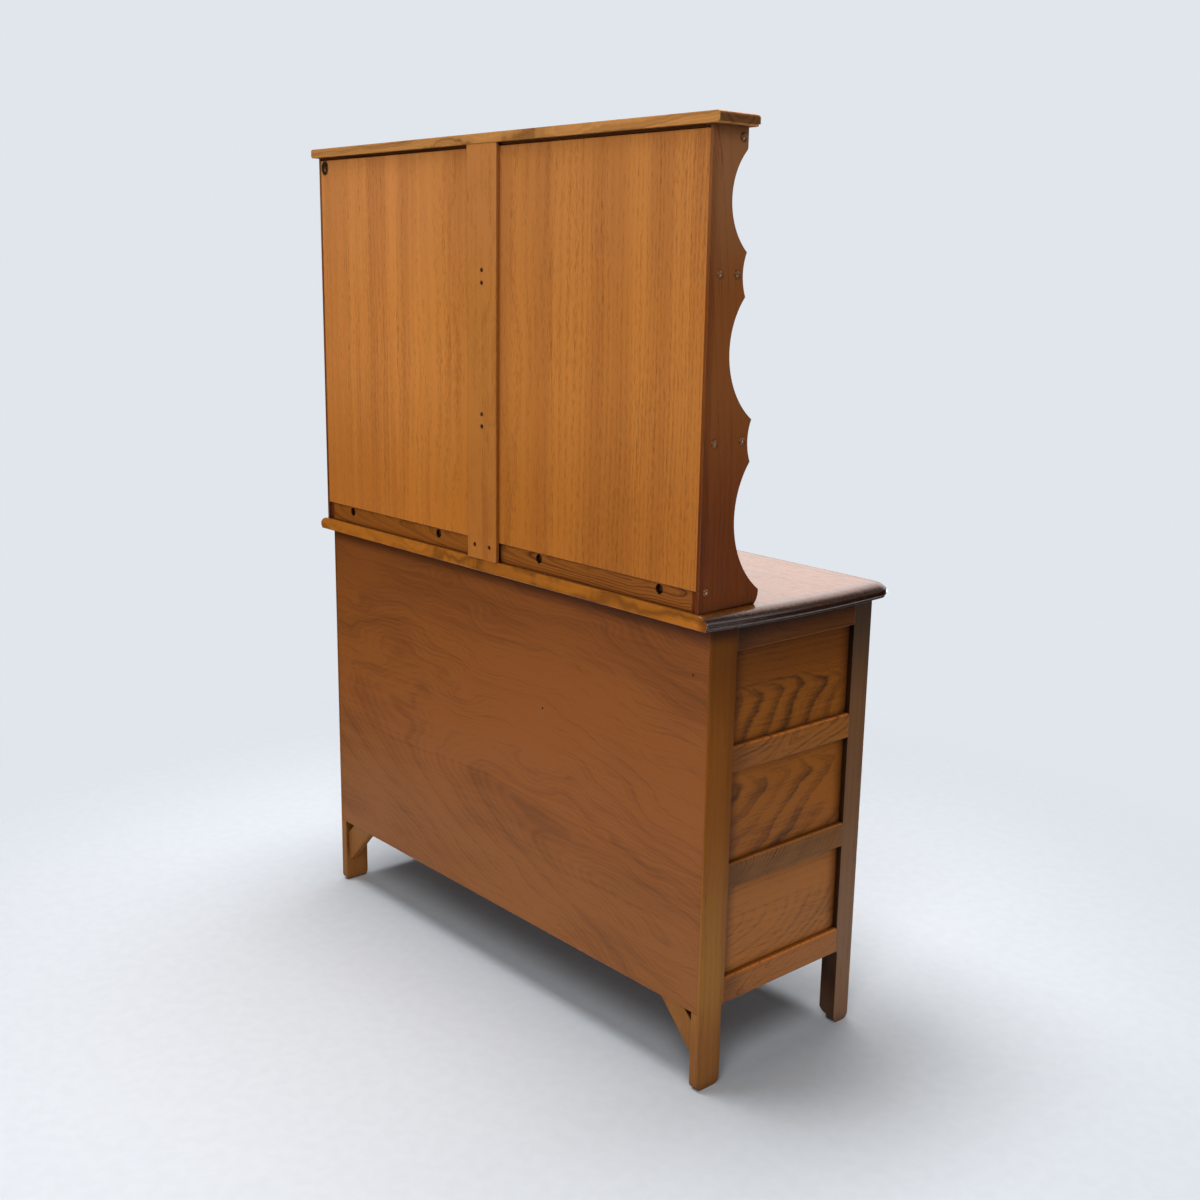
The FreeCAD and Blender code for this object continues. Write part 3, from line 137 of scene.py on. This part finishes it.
def wood(name, light, dark, along="Z", face="X", level=0.0, cells=("Z", 0.0, 9.0),
         centre=(0.0, 0.0), tilt=0.0, rings=110, pith=0.05, slope=0.0, wander=0.024, knots=0.004,
         contrast=0.5, band=(0.3, 0.85), fine=0.12, streak=0.35, fleck=0.0, pore=0.3, mottle=0.5,
         gloss=0.42, level_shine=0.3, coat=0.0, recess_shade=0.5, edge=0.15, light_and_tone_bands=(), facing_light_and_tone=(),
         holes=(), flames=None, leaves=None):
    """Sawn and polished wood. Growth rings lie round a pith that leaves the board's face at a
    slope, which gives the arched figure of flat-sawn boards, and a deep pith straight grain.

    along, face, level: the grain's axis, the face's axis, and where on it the face lies.
    cells: axis, start and pitch that tell apart the boards of one node. A tuple of values
    holds one for each of them.
    centre, tilt, slope, pith: where the figure starts, its turn on the face, how fast the
    pith goes down, and its depth. rings: growth rings in a metre.
    wander, knots: how far the rings stray, slowly and in short kinks.
    contrast, band, fine: dark latewood, where in a ring it starts and is full, and hairlines.
    streak, fleck, pore, mottle: fibres, short dashes, open pores, clouds.
    light_and_tone_bands: (axis, from, to, factor) along the board, by which the colour is
    multiplied; most are painted shade and sheen, a few are tone.
    facing_light_and_tone: the same by the way a face looks, to either side on X; painted
    highlights and shade on some faces, tone on others.
    holes: dark marks (x, y, z, radius) that paint the shade inside holes.
    flames: ragged bands (rings in a metre along the board, lean, more above the centre).
    leaves: a factor for every other leaf of a veneer."""
    s = Shader(name)
    axes = dict(zip("XYZ", s.place()))
    across = next(axis for axis in "XYZ" if axis not in (along, face))
    cell_axis, cell_start, cell_pitch = cells
    cell = s.math("FLOOR", s.times(s.math("SUBTRACT", axes[cell_axis], cell_start),
                                   1 / cell_pitch))
    hand = s.math("SIGN", axes["X"]) if along != "X" else 0.0
    chance = s.node("TexWhiteNoise", {"Vector": s.vector(cell, hand, 0.5)},
                    noise_dimensions="3D").outputs["Value"]
    deep = s.math("ABSOLUTE", axes[face])
    run = s.math("SUBTRACT", axes[along], s.pick(cell, centre[0]))
    side = s.math("SUBTRACT", axes[across], s.pick(cell, centre[1]))

    # the figure
    warp = s.noise(s.vector(s.add(s.times(run, 4.0), s.times(chance, 40.0)),
                            s.times(side, 9.0), s.times(deep, 9.0)), 1.0, 2.0)
    zigzag = s.noise(s.vector(s.times(run, 45.0), s.times(side, 70.0),
                              s.times(chance, 20.0)), 1.0, 2.0)
    warp = s.add(s.times(warp, s.pick(cell, wander)), s.times(zigzag, knots))
    turned = s.pick(cell, tilt)
    cosine, sine = s.math("COSINE", turned), s.math("SINE", turned)
    forward = s.add(s.times(run, cosine), s.times(side, sine))
    sideways = s.add(s.math("SUBTRACT", s.times(side, cosine), s.times(run, sine)), warp)
    depth = s.add(s.times(forward, s.pick(cell, slope)), s.math("SUBTRACT", deep, level), pith,
                  s.times(warp, 0.6))
    radius = s.math("SQRT", s.add(s.times(sideways, sideways), s.times(depth, depth)))
    count = s.add(s.times(radius, s.pick(cell, rings)), s.times(chance, 3.0))
    quiet = 1.0
    if flames:
        pitch, lean, crown = (s.pick(cell, values) for values in flames)
        drift = s.times(s.noise(s.vector(s.times(run, 13.0), s.times(side, 17.0),
                                         s.times(chance, 30.0)), 1.0, 4.0, 0.62), 0.055)
        lift = s.times(s.noise(s.vector(s.times(run, 14.0), s.times(side, 8.0),
                                        s.times(chance, -30.0)), 1.0, 4.0, 0.6), 0.06)
        above = s.add(side, lift)
        over = s.math("SMOOTH_MAX", above, 0.0, 0.02)
        count = s.add(count, s.times(s.add(run, drift), s.times(pitch, -1.0)),
                      s.times(above, s.times(s.times(pitch, lean), -1.0)), s.times(over, crown))
        quiet = s.span(above, 0.03, -0.01, 0.3, 1.0)
    ring = s.math("FRACT", count)
    year = s.noise(s.vector(s.times(run, 3.0), count, s.times(chance, 7.0)), 0.8, 1.0)
    late = s.times(s.span(ring, *band), s.span(ring, 1.0, 0.78))
    late = s.times(s.times(late, quiet), s.span(year, -0.2, 0.2, 0.3, 1.0))
    hairline = s.math("SINE", s.times(s.add(count, s.times(year, 0.5)),
                                      2 * math.pi * HAIRLINES))

    # fibre, pores and cloudy colour
    def fibres(length, width, detail):
        return s.noise(s.vector(s.add(s.times(run, length), s.times(chance, 60.0)),
                                s.times(s.add(side, s.times(warp, 0.4)), width),
                                s.times(deep, width)), 1.0, detail, 0.6)

    streaks = s.add(s.times(fibres(2.0, 260.0, 3.0), 1.2), s.times(fibres(0.8, 28.0, 2.0), 0.6))
    pores = s.span(fibres(42.0, 900.0, 1.0), 0.08, 0.2)
    cloud = s.noise(s.vector(s.times(run, 3.0), s.times(side, 7.0),
                             s.add(s.times(deep, 7.0), s.times(chance, 11.0))), 1.0, 3.0)
    tone = s.add(s.times(late, s.pick(cell, contrast)), s.times(hairline, s.pick(cell, fine)),
                 s.times(streaks, streak), s.times(cloud, mottle),
                 s.times(fibres(75.0, 560.0, 2.0), fleck),
                 s.times(s.math("SUBTRACT", chance, 0.5), 0.12))
    tone = s.math("ADD", tone, s.times(pores, s.times(s.add(0.4, late), pore)), clamp=True)
    colour = s.mix(tone, light, dark)
    if leaves:
        colour = s.multiply(s.span(fibres(0.5, 15.0, 3.0), -0.12, 0.12), colour, leaves)
    straight = s.node("NewGeometry").outputs["Normal"]
    facing = s.node("SeparateXYZ", {0: straight}).outputs
    # bands along the board: mostly painted shade and sheen, a few tone
    for axis, low, high, factor in light_and_tone_bands:
        colour = s.multiply(s.span(axes[axis], low, high), colour, factor)
    # factors by facing: painted highlights and shade on some faces, tone on others
    for axis, low, high, factor in facing_light_and_tone:
        outward = s.math("ABSOLUTE", facing[axis]) if axis == "X" else facing[axis]
        colour = s.multiply(s.span(outward, low, high), colour, factor)

    # painted shade in the recesses, and wear with a painted highlight on the arrises
    # painted shade: the more occluded a point is within reach, the more its colour turns to the
    # painted shade tone
    closed = s.node("AmbientOcclusion", {"Distance": SHADE_REACH}, samples=6).outputs["AO"]
    colour = s.mix(s.times(s.span(closed, 0.95, 0.3), recess_shade), colour,
                   scaled(dark, PAINTED_SHADE_TONE))
    rounded = s.node("Bevel", {"Radius": ARRIS_RADIUS}, samples=4).outputs[0]
    arris = s.node("VectorMath", {0: rounded, 1: straight}, operation="DOT_PRODUCT").outputs[1]
    # lighter arrises: partly wear, partly a painted highlight
    worn_and_highlit = s.times(s.times(s.span(arris, 0.985, 0.85), s.span(cloud, -0.2, 0.2)), edge)
    colour = s.mix(worn_and_highlit, colour, scaled(light, WEAR_AND_HIGHLIGHT))
    # painted shade inside holes
    for hole in holes:
        colour = s.mix(spot(s, *hole), colour, scaled(dark, HOLE_SHADE))

    rough = s.add(gloss, s.times(cloud, 0.2), s.times(pores, 0.12))
    height = s.add(s.times(streaks, 0.5), s.times(pores, -1.0), s.times(late, -0.3))
    relief = s.node("Bump", {"Strength": FIBRE_BUMP, "Distance": FIBRE_DEPTH, "Height": height,
                             "Normal": rounded}).outputs[0]
    shine = s.node("BsdfPrincipled", {"Base Color": colour, "Roughness": rough, "Normal": relief,
                                      "Specular IOR Level": level_shine, "Coat Weight": coat,
                                      "Coat Roughness": 0.12, "Coat Normal": rounded,
                                      "IOR": 1.5})
    return s.finish(shine.outputs[0])


def metal(name, colour, tarnish, rough):
    """Metal with patches of tarnish, and fine scratches along Z."""
    s = Shader(name)
    coordinates = s.node("TexCoord").outputs["Object"]
    patches = s.noise(coordinates, 160.0, 4.0, 0.6)
    scratches = s.noise(s.node("Mapping", {"Vector": coordinates,
                                           "Scale": (900.0, 900.0, 60.0)}).outputs[0], 1.0, 2.0)
    shade = s.mix(s.span(patches, -0.1, 0.15), colour, tarnish)
    roughness = s.add(rough, s.times(patches, 0.3))
    relief = s.node("Bump", {"Strength": 0.2, "Distance": 0.0002, "Height": scratches}).outputs[0]
    shine = s.node("BsdfPrincipled", {"Base Color": shade, "Metallic": 1.0,
                                      "Roughness": roughness, "Normal": relief})
    return s.finish(shine.outputs[0])


def dress(material, *names):
    """Gives nodes a material."""
    for name in names:
        mesh = NODES[name].data
        if not mesh.materials:
            mesh.materials.append(material)
        for index in range(len(mesh.materials)):
            mesh.materials[index] = material


# ---------------------------------------------------------------- the woods of the dresser

BROWN = {"light": srgb(138, 80, 34), "dark": srgb(74, 38, 15)}
INNER = {"light": srgb(184, 140, 90), "dark": srgb(134, 92, 50)}

# cells, a board of its own for each:
SIDE_PANELS = ("Z", 0.171, 0.2045)
SIDE_RAILS = ("Z", 0.069, 0.2045)
DRAWER_FRONTS = ("Z", 0.19, 0.197)
WORKTOP_BOARDS = ("Y", -0.235, 0.155)

# painted shade below the worktop; dark marks painting the shade in the hollow behind the hanging
# plate and in two holes in the back
SHADE_UNDER_TOP = ("Z", 0.772, 0.803, (0.28, 0.25, 0.26))
KEYHOLE = (0.538, 0.226, 1.541, 0.006)
NAIL_HOLES = ((-0.145, 0.206, 0.576, 0.0022), (-0.525, 0.206, 0.724, 0.002))

# painted light on these legs: a pale bluish sheen low down, painted shade below the worktop, a
# painted highlight on the arrises; also darker at the foot and towards the front
dress(wood("rear_leg_wood", srgb(136, 77, 9), srgb(82, 40, 4), "Z", "X", level=0.56,
           rings=130, pith=0.30, contrast=0.16, streak=0.7, fleck=0.4, gloss=0.45,
           level_shine=0.12,
           light_and_tone_bands=(("Z", 0.5, 0.2, (1.28, 1.76, 8.0)), ("Z", 0.2, 0.06, (0.78, 0.7, 0.85)),
                   ("Y", 0.17, 0.148, (0.78, 0.74, 0.78)), ("Z", 0.6, 0.76, (0.68, 0.64, 0.55)),
                   SHADE_UNDER_TOP),
           edge=0.6),
      "left_rear_leg", "right_rear_leg", "rear_brackets")
# painted shade on the tops of these pieces below the worktop, and on their rear-facing faces in
# the recess beside the panels
dress(wood("front_leg_wood", srgb(118, 78, 42), srgb(66, 38, 20), "Z", "X", level=0.56,
           rings=130, pith=0.30, contrast=0.16, streak=0.7, pore=0.4, gloss=0.42,
           light_and_tone_bands=(("Z", 0.6, 0.78, (0.36, 0.42, 0.66)),),
           facing_light_and_tone=(("Y", 0.5, 0.9, (0.32, 0.28, 0.24)),)),
      "left_front_leg", "right_front_leg", "front_posts", "front_muntins")
# painted light on the side rails: shade below the worktop and towards the rear legs, a painted
# highlight on the upward chamfers; lower down also darker below 0.41 m and lighter below 0.31 m
dress(wood("side_rail_wood", srgb(154, 93, 36), srgb(58, 29, 10), "Y", "X", level=0.56,
           cells=SIDE_RAILS, centre=((0.06, 0.19, 0.0, -0.06), (0.172, 0.375, 0.582, 0.79)),
           rings=(210, 190, 90, 150), pith=0.008, slope=(0.12, 0.5, 0.12, 0.12),
           tilt=(-0.35, -0.25, -0.3, 0.0), wander=(0.01, 0.05, 0.06, 0.02),
           contrast=(0.4, 0.7, 0.55, 0.25), streak=0.8, fleck=0.4, mottle=1.0, gloss=0.4,
           level_shine=0.2, edge=0.6,
           light_and_tone_bands=(("Y", 0.08, 0.148, (0.6, 0.56, 0.54)), SHADE_UNDER_TOP,
                   ("Z", 0.752, 0.768, (0.4, 0.36, 0.38)), ("Z", 0.44, 0.41, (0.62, 0.68, 0.72)),
                   ("Z", 0.34, 0.31, (1.61, 1.47, 1.39))),
           facing_light_and_tone=(("Z", 0.4, 0.65, (1.9, 1.7, 1.5)),)),
      "left_side_rails", "right_side_rails")
# painted light on the side panels: a pale bluish sheen low down, painted shade below the worktop
# and along both legs, and strong painted shade in their inner corners
dress(wood("side_panel_wood", srgb(150, 86, 22), srgb(50, 25, 7), "Y", "X", level=0.556,
           cells=SIDE_PANELS, centre=((0.155, 0.19, 0.18), (0.279, 0.525, 0.682)),
           tilt=(-0.08, 0.0, 0.0), slope=(0.40, 0.30, 0.34), rings=(88, 10, 4), pith=0.0,
           wander=(0.03, 0.1, 0.05), knots=0.0056, contrast=(0.26, 0.64, 0.62),
           fine=(0.06, 0.05, 0.05), band=(0.15, 0.8), streak=0.8, fleck=0.5, mottle=1.5,
           gloss=0.36, level_shine=0.2, recess_shade=1.0,
           flames=((0.0, 14.0, 18.0), (0.0, 1.0, 0.55), (0.0, 60.0, 120.0)),
           light_and_tone_bands=(("Z", 0.42, 0.25, (1.15, 1.25, 1.7)), ("Z", 0.64, 0.74, (0.56, 0.52, 0.55)),
                   ("Y", 0.112, 0.148, (0.42, 0.38, 0.34)),
                   ("Y", -0.115, -0.146, (0.55, 0.5, 0.45)))),
      "side_panels")
dress(wood("front_rail_wood", **BROWN, along="X", face="Y", level=0.19, rings=150, pith=0.05,
           slope=0.05),
      "front_top_rail", "front_bottom_rail", "drawer_rails", "rear_rails")
# painted light on the back: painted shade towards the top and below the worktop's overhang, a
# pale bluish sheen low down, and painted shade in two nail holes
dress(wood("base_back_wood", srgb(148, 84, 33), srgb(92, 47, 16), "X", "Y", level=0.206,
           centre=(-0.30, 0.30), tilt=0.25, slope=0.22, rings=30,
           pith=0.03, wander=0.12, knots=0.0024, contrast=0.22, fine=0.08, streak=0.7, pore=0.2,
           mottle=1.2, gloss=0.5, level_shine=0.2, recess_shade=0.5, edge=0.5,
           light_and_tone_bands=(("Z", 0.62, 0.75, (0.92, 0.9, 0.92)), ("Z", 0.5, 0.2, (0.9, 1.0, 1.16)),
                   SHADE_UNDER_TOP),
           holes=NAIL_HOLES),
      "back_panel")
# painted light on the hutch's back: painted shade towards the bottom, a bluish painted sheen
# towards the top and on the +X panel, and painted shade in the hollow behind the hanging plate
dress(wood("hutch_back_wood", srgb(208, 132, 58), srgb(130, 66, 16), "Z", "Y", level=0.227,
           rings=60, pith=0.9, wander=0.012, contrast=0.05, streak=0.5, fleck=1.5, pore=0.4,
           mottle=0.6, gloss=0.5, level_shine=0.2, recess_shade=0.6, leaves=(0.84, 0.8, 0.84),
           light_and_tone_bands=(("Z", 1.2, 0.9, (0.82, 0.74, 0.5)), ("Z", 1.25, 1.5, (1.0, 1.04, 1.3)),
                   ("X", 0.0, 0.3, (1.2, 1.22, 1.4))),
           holes=(KEYHOLE,)),
      "hutch_back_panels")
# painted light on the centre post, as on the hutch's back: painted shade low down and a bluish
# painted sheen towards the top
dress(wood("centre_post_wood", srgb(198, 126, 56), srgb(130, 72, 22), "Z", "Y", level=0.234,
           rings=70, pith=0.5, contrast=0.25, streak=0.7, fleck=1.0, gloss=0.5, level_shine=0.2,
           light_and_tone_bands=(("Z", 1.2, 0.9, (0.85, 0.78, 0.65)), ("Z", 1.25, 1.5, (1.03, 1.04, 1.4)))),
      "hutch_centre_post")
# painted light on the hutch's sides: painted shade low down, a pale bluish painted sheen towards
# the top, strong painted shade in inner corners; also darker along the rear edge
dress(wood("hutch_side_wood", srgb(146, 84, 38), srgb(74, 35, 13), "Z", "X", level=0.553,
           centre=(1.2, 0.25), rings=90, pith=0.05, slope=0.1, contrast=0.2, streak=0.6,
           fleck=0.4, mottle=1.6, gloss=0.36, level_shine=0.2, edge=0.9, recess_shade=0.9,
           light_and_tone_bands=(("Z", 1.2, 0.95, (0.68, 0.5, 0.25)), ("Z", 1.3, 1.5, (1.2, 1.6, 2.8)),
                   ("Y", 0.208, 0.224, (0.8, 0.72, 0.62)))),
      "left_hutch_side", "right_hutch_side")
# strong painted shade in the inner corners and screw pockets of these rails
dress(wood("hutch_rail_wood", srgb(160, 92, 28), srgb(70, 32, 8), "X", "Y", level=0.223,
           centre=(-0.2, 0.862), rings=190, pith=0.01, slope=0.07, wander=0.04, contrast=0.75,
           gloss=0.5, level_shine=0.2, recess_shade=0.95),
      "hutch_bottom_rail", "hutch_top_rail", "shelf_rails", "hutch_valance")
dress(wood("shelf_wood", **BROWN, along="X", face="Z", level=1.3, rings=130, pith=0.03,
           slope=0.08, contrast=0.6, gloss=0.3),
      "upper_plate_shelf", "lower_plate_shelf")
dress(wood("worktop_wood", srgb(166, 98, 30), srgb(84, 46, 14), "X", "Z", level=0.831,
           cells=WORKTOP_BOARDS, centre=((-0.1, -0.3, 0.2), (-0.16, -0.02, 0.15)),
           rings=60, pith=0.004, slope=0.05, wander=0.04, contrast=0.6, gloss=0.2,
           level_shine=0.5, coat=0.5, edge=0.1,
           light_and_tone_bands=(("X", -0.552, -0.572, (0.5, 0.42, 0.42)),),
           facing_light_and_tone=(("Y", 0.5, 0.9, (1.4, 1.4, 1.3)), ("X", 0.2, 0.65, (0.17, 0.16, 0.17)))),
      "worktop")
dress(wood("hutch_top_wood", srgb(208, 144, 78), srgb(124, 76, 36), "X", "Z", level=1.578,
           centre=(0.2, 0.19), rings=90, pith=0.03, slope=0.06, contrast=0.6, gloss=0.3,
           facing_light_and_tone=(("X", 0.5, 0.9, (0.34, 0.3, 0.3)),)),
      "hutch_top")
dress(wood("door_stile_wood", **BROWN, along="Z", face="Y", level=0.191, rings=140, pith=0.25,
           contrast=0.4),
      "left_door_stiles", "right_door_stiles")
dress(wood("front_cross_wood", **BROWN, along="X", face="Y", level=0.191,
           cells=DRAWER_FRONTS, centre=((0.1, -0.15, 0.05), (0.27, 0.49, 0.66)), rings=80,
           pith=0.006, slope=0.16, wander=0.04, contrast=0.6),
      "left_door_rails", "right_door_rails", "lower_drawer_front", "middle_drawer_front",
      "upper_drawer_front")
# strong painted shade in the inner corners of these panels
dress(wood("door_panel_wood", **BROWN, along="Z", face="Y", level=0.184, centre=(0.1, 0.0),
           rings=60, pith=0.35, slope=0.25, wander=0.08, contrast=0.6, recess_shade=0.8),
      "left_door_panel", "right_door_panel")
dress(wood("knob_wood", srgb(124, 70, 28), srgb(66, 33, 12), "Y", "Z", rings=260, pith=0.02,
           contrast=0.5, gloss=0.28),
      "lower_drawer_knobs", "middle_drawer_knobs", "upper_drawer_knobs", "left_door_knob",
      "right_door_knob")
dress(wood("peg_wood", srgb(132, 84, 44), srgb(82, 47, 22), "X", "Z", rings=500, pith=0.01,
           contrast=0.4, gloss=0.24, level_shine=0.6),
      "hutch_pegs")
dress(wood("inner_wood", srgb(190, 148, 98), srgb(142, 98, 54), "Z", "Y", rings=60, pith=0.3,
           contrast=0.4, gloss=0.6),
      "partitions", "shelf_battens", "drawer_runners", "worktop_buttons", "door_stops")
dress(wood("inner_board_wood", **INNER, along="X", face="Z", rings=60, pith=0.2, contrast=0.4,
           gloss=0.6),
      "cupboard_shelves", "lower_drawer_bottom", "middle_drawer_bottom", "upper_drawer_bottom")
# painted shade on the underside of the bottom board, which also keeps it from lighting the floor
# below
dress(wood("carcass_bottom_wood", **INNER, along="X", face="Z", rings=60, pith=0.2,
           contrast=0.4, gloss=0.6, facing_light_and_tone=(("Z", -0.5, -0.9, (0.12, 0.1, 0.09)),)),
      "carcass_bottom")
dress(wood("drawer_box_wood", srgb(200, 160, 108), srgb(152, 110, 64), "Y", "X", rings=100,
           pith=0.2, contrast=0.45, gloss=0.55),
      "lower_drawer_box", "middle_drawer_box", "upper_drawer_box")
dress(metal("dull_brass", srgb(166, 146, 92), srgb(104, 92, 54), 0.36),
      "frame_hinges", "left_door_hinge_leaves", "right_door_hinge_leaves", "hanging_plate")
dress(metal("blued_steel", srgb(104, 100, 98), srgb(52, 48, 46), 0.35), "hutch_screws")


# ---------------------------------------------------------------- floor, light and camera

BACKDROP = srgb(225, 230, 236)
FLOOR_RINGS, FLOOR_SIDES = (0.02, 0.5, 1.0, 2.0, 4.0, 8.0), 64
FLOOR_FADE = (0.95, 1.9)           # metres from the middle, over which it turns clear
ROOM_COLOUR = (0.95, 0.97, 1.0, 1)
GROUND, SKY = 0.02, 0.08           # the dim room, below and above
WALL, PANEL = 1.15, 2.4            # what glossy rays see besides it
PANEL_TOWARD = (-0.54, -0.58, 0.63)
PANEL_EDGE = (0.965, 0.995)        # cosines of the angle to its middle
LAMPS = {                          # place, aim, diameter in metres, power in watts
    "rear_overhead": ((0.45, 0.5, 4.0), (0.0, 0.0, 0.6), 1.6, 88.0),
    "front_overhead": ((0.3, -0.6, 4.0), (0.0, 0.0, 0.0), 2.0, 80.0),
    "high_fill": ((-2.2, 2.6, 3.6), (0.0, 0.0, 0.8), 2.0, 56.0),
    "rear_fill": ((-0.3, 4.0, 0.15), (0.0, 0.0, 0.8), 0.6, 54.0),
    "side_fill": ((-4.2, -0.8, 0.15), (-0.3, 0.0, 0.7), 0.6, 46.0),
    "front_fill": ((1.2, -4.2, 0.15), (0.0, 0.0, 0.8), 0.6, 40.0),
}
CAMERA_PLACE = (-2.0700, 1.77155, 1.3497)
CAMERA_ANGLES = (228.547, 12.960, 0.9935)      # azimuth, elevation and roll, in degrees
SENSOR_WIDTH, FOCAL_LENGTH = 36.0, 42.82       # millimetres


def make_floor():
    """A plain pale floor that fades into the backdrop away from the dresser."""
    turns = [2 * math.pi * side / FLOOR_SIDES for side in range(FLOOR_SIDES)]
    points = [(radius * math.cos(turn), radius * math.sin(turn), 0.0)
              for radius in FLOOR_RINGS for turn in turns]
    faces = [tuple(range(FLOOR_SIDES))]
    for ring in range(len(FLOOR_RINGS) - 1):
        for side in range(FLOOR_SIDES):
            a = ring * FLOOR_SIDES + side
            b = ring * FLOOR_SIDES + (side + 1) % FLOOR_SIDES
            faces.append((a, b, b + FLOOR_SIDES, a + FLOOR_SIDES))
    mesh = bpy.data.meshes.new("floor")
    mesh.from_pydata(points, [], faces)
    floor = bpy.data.objects.new("floor", mesh)
    bpy.context.scene.collection.objects.link(floor)
    s = Shader("floor_paint")
    coordinates = s.node("TexCoord").outputs["Object"]
    grain = s.noise(coordinates, 40.0, 3.0)
    colour = s.mix(s.span(grain, -0.2, 0.2), srgb(222, 227, 233), BACKDROP)
    matt = s.node("BsdfDiffuse", {"Color": colour}).outputs[0]
    clear = s.node("BsdfTransparent").outputs[0]
    distance = s.node("VectorMath", {0: coordinates}, operation="LENGTH").outputs["Value"]
    blend = s.node("MixShader", {0: s.span(distance, *FLOOR_FADE), 1: matt, 2: clear})
    mesh.materials.append(s.finish(blend.outputs[0]))


def make_world():
    """A pale backdrop for the camera and a dim room for all other rays. Glossy rays also see
    a lit wall on the side of +X and -Y, which polished tops mirror, and a lit panel above the
    other front corner."""
    world = bpy.data.worlds.new("surround")
    bpy.context.scene.world = world
    world.use_nodes = True
    tree = world.node_tree
    tree.nodes.clear()

    def math_node(operation, first, second):
        made = tree.nodes.new("ShaderNodeMath")
        made.operation = operation
        for socket, source in zip(made.inputs, (first, second)):
            if isinstance(source, bpy.types.NodeSocket):
                tree.links.new(source, socket)
            else:
                socket.default_value = source
        return made.outputs[0]

    def ramp(source, low, high, out_low, out_high):
        made = tree.nodes.new("ShaderNodeMapRange")
        made.interpolation_type = "SMOOTHSTEP"
        tree.links.new(source, made.inputs[0])
        for socket, number in zip(made.inputs[1:5], (low, high, out_low, out_high)):
            socket.default_value = number
        return made.outputs[0]

    where = tree.nodes.new("ShaderNodeTexCoord").outputs["Generated"]
    parts = tree.nodes.new("ShaderNodeSeparateXYZ")
    tree.links.new(where, parts.inputs[0])
    x, y, z = parts.outputs
    room = tree.nodes.new("ShaderNodeBackground")
    room.inputs["Color"].default_value = ROOM_COLOUR
    path = tree.nodes.new("ShaderNodeLightPath")
    wall = math_node("MULTIPLY", ramp(y, -0.1, -0.4, 0.0, WALL), ramp(x, -0.1, 0.3, 0.0, 1.0))
    wall = math_node("MULTIPLY", wall, ramp(z, 0.0, 0.1, 0.0, 1.0))
    toward = tree.nodes.new("ShaderNodeVectorMath")
    toward.operation = "DOT_PRODUCT"
    tree.links.new(where, toward.inputs[0])
    toward.inputs[1].default_value = Vector(PANEL_TOWARD).normalized()
    mirrored = math_node("ADD", wall, ramp(toward.outputs["Value"], *PANEL_EDGE, 0.0, PANEL))
    tree.links.new(math_node("ADD", ramp(z, -0.3, 0.35, GROUND, SKY),
                             math_node("MULTIPLY", mirrored, path.outputs["Is Glossy Ray"])),
                   room.inputs["Strength"])
    seen = tree.nodes.new("ShaderNodeBackground")
    seen.inputs["Color"].default_value = (*BACKDROP, 1)
    blend = tree.nodes.new("ShaderNodeMixShader")
    output = tree.nodes.new("ShaderNodeOutputWorld")
    tree.links.new(path.outputs["Is Camera Ray"], blend.inputs[0])
    tree.links.new(room.outputs[0], blend.inputs[1])
    tree.links.new(seen.outputs[0], blend.inputs[2])
    tree.links.new(blend.outputs[0], output.inputs["Surface"])


def make_light(name, place, aim, size, energy):
    """A white disk lamp."""
    lamp = bpy.data.lights.new(name, "AREA")
    lamp.shape = "DISK"
    lamp.size = size
    lamp.energy = energy
    holder = bpy.data.objects.new(name, lamp)
    bpy.context.scene.collection.objects.link(holder)
    holder.location = place
    holder.rotation_euler = (Vector(aim) - Vector(place)).to_track_quat("-Z", "Y").to_euler()


def make_camera():
    """The view that was fitted to the photograph."""
    azimuth, elevation, roll = (math.radians(angle) for angle in CAMERA_ANGLES)
    back = Vector((math.sin(azimuth) * math.cos(elevation),
                   -math.cos(azimuth) * math.cos(elevation), math.sin(elevation)))
    level = (-back).cross(Vector((0, 0, 1))).normalized()
    up = level.cross(-back)
    right = level * math.cos(roll) + up * math.sin(roll)
    above = up * math.cos(roll) - level * math.sin(roll)
    turn = Matrix((right, above, back)).transposed().to_4x4()
    lens = bpy.data.cameras.new("camera")
    lens.sensor_width = SENSOR_WIDTH
    lens.lens = FOCAL_LENGTH
    lens.clip_end = 100.0
    holder = bpy.data.objects.new("camera", lens)
    bpy.context.scene.collection.objects.link(holder)
    holder.matrix_world = Matrix.Translation(CAMERA_PLACE) @ turn
    bpy.context.scene.camera = holder


make_floor()
make_world()
for lamp_name, (place, aim, size, power) in LAMPS.items():
    make_light(lamp_name, place, aim, size, power)
make_camera()
bpy.context.scene.view_settings.view_transform = "Standard"
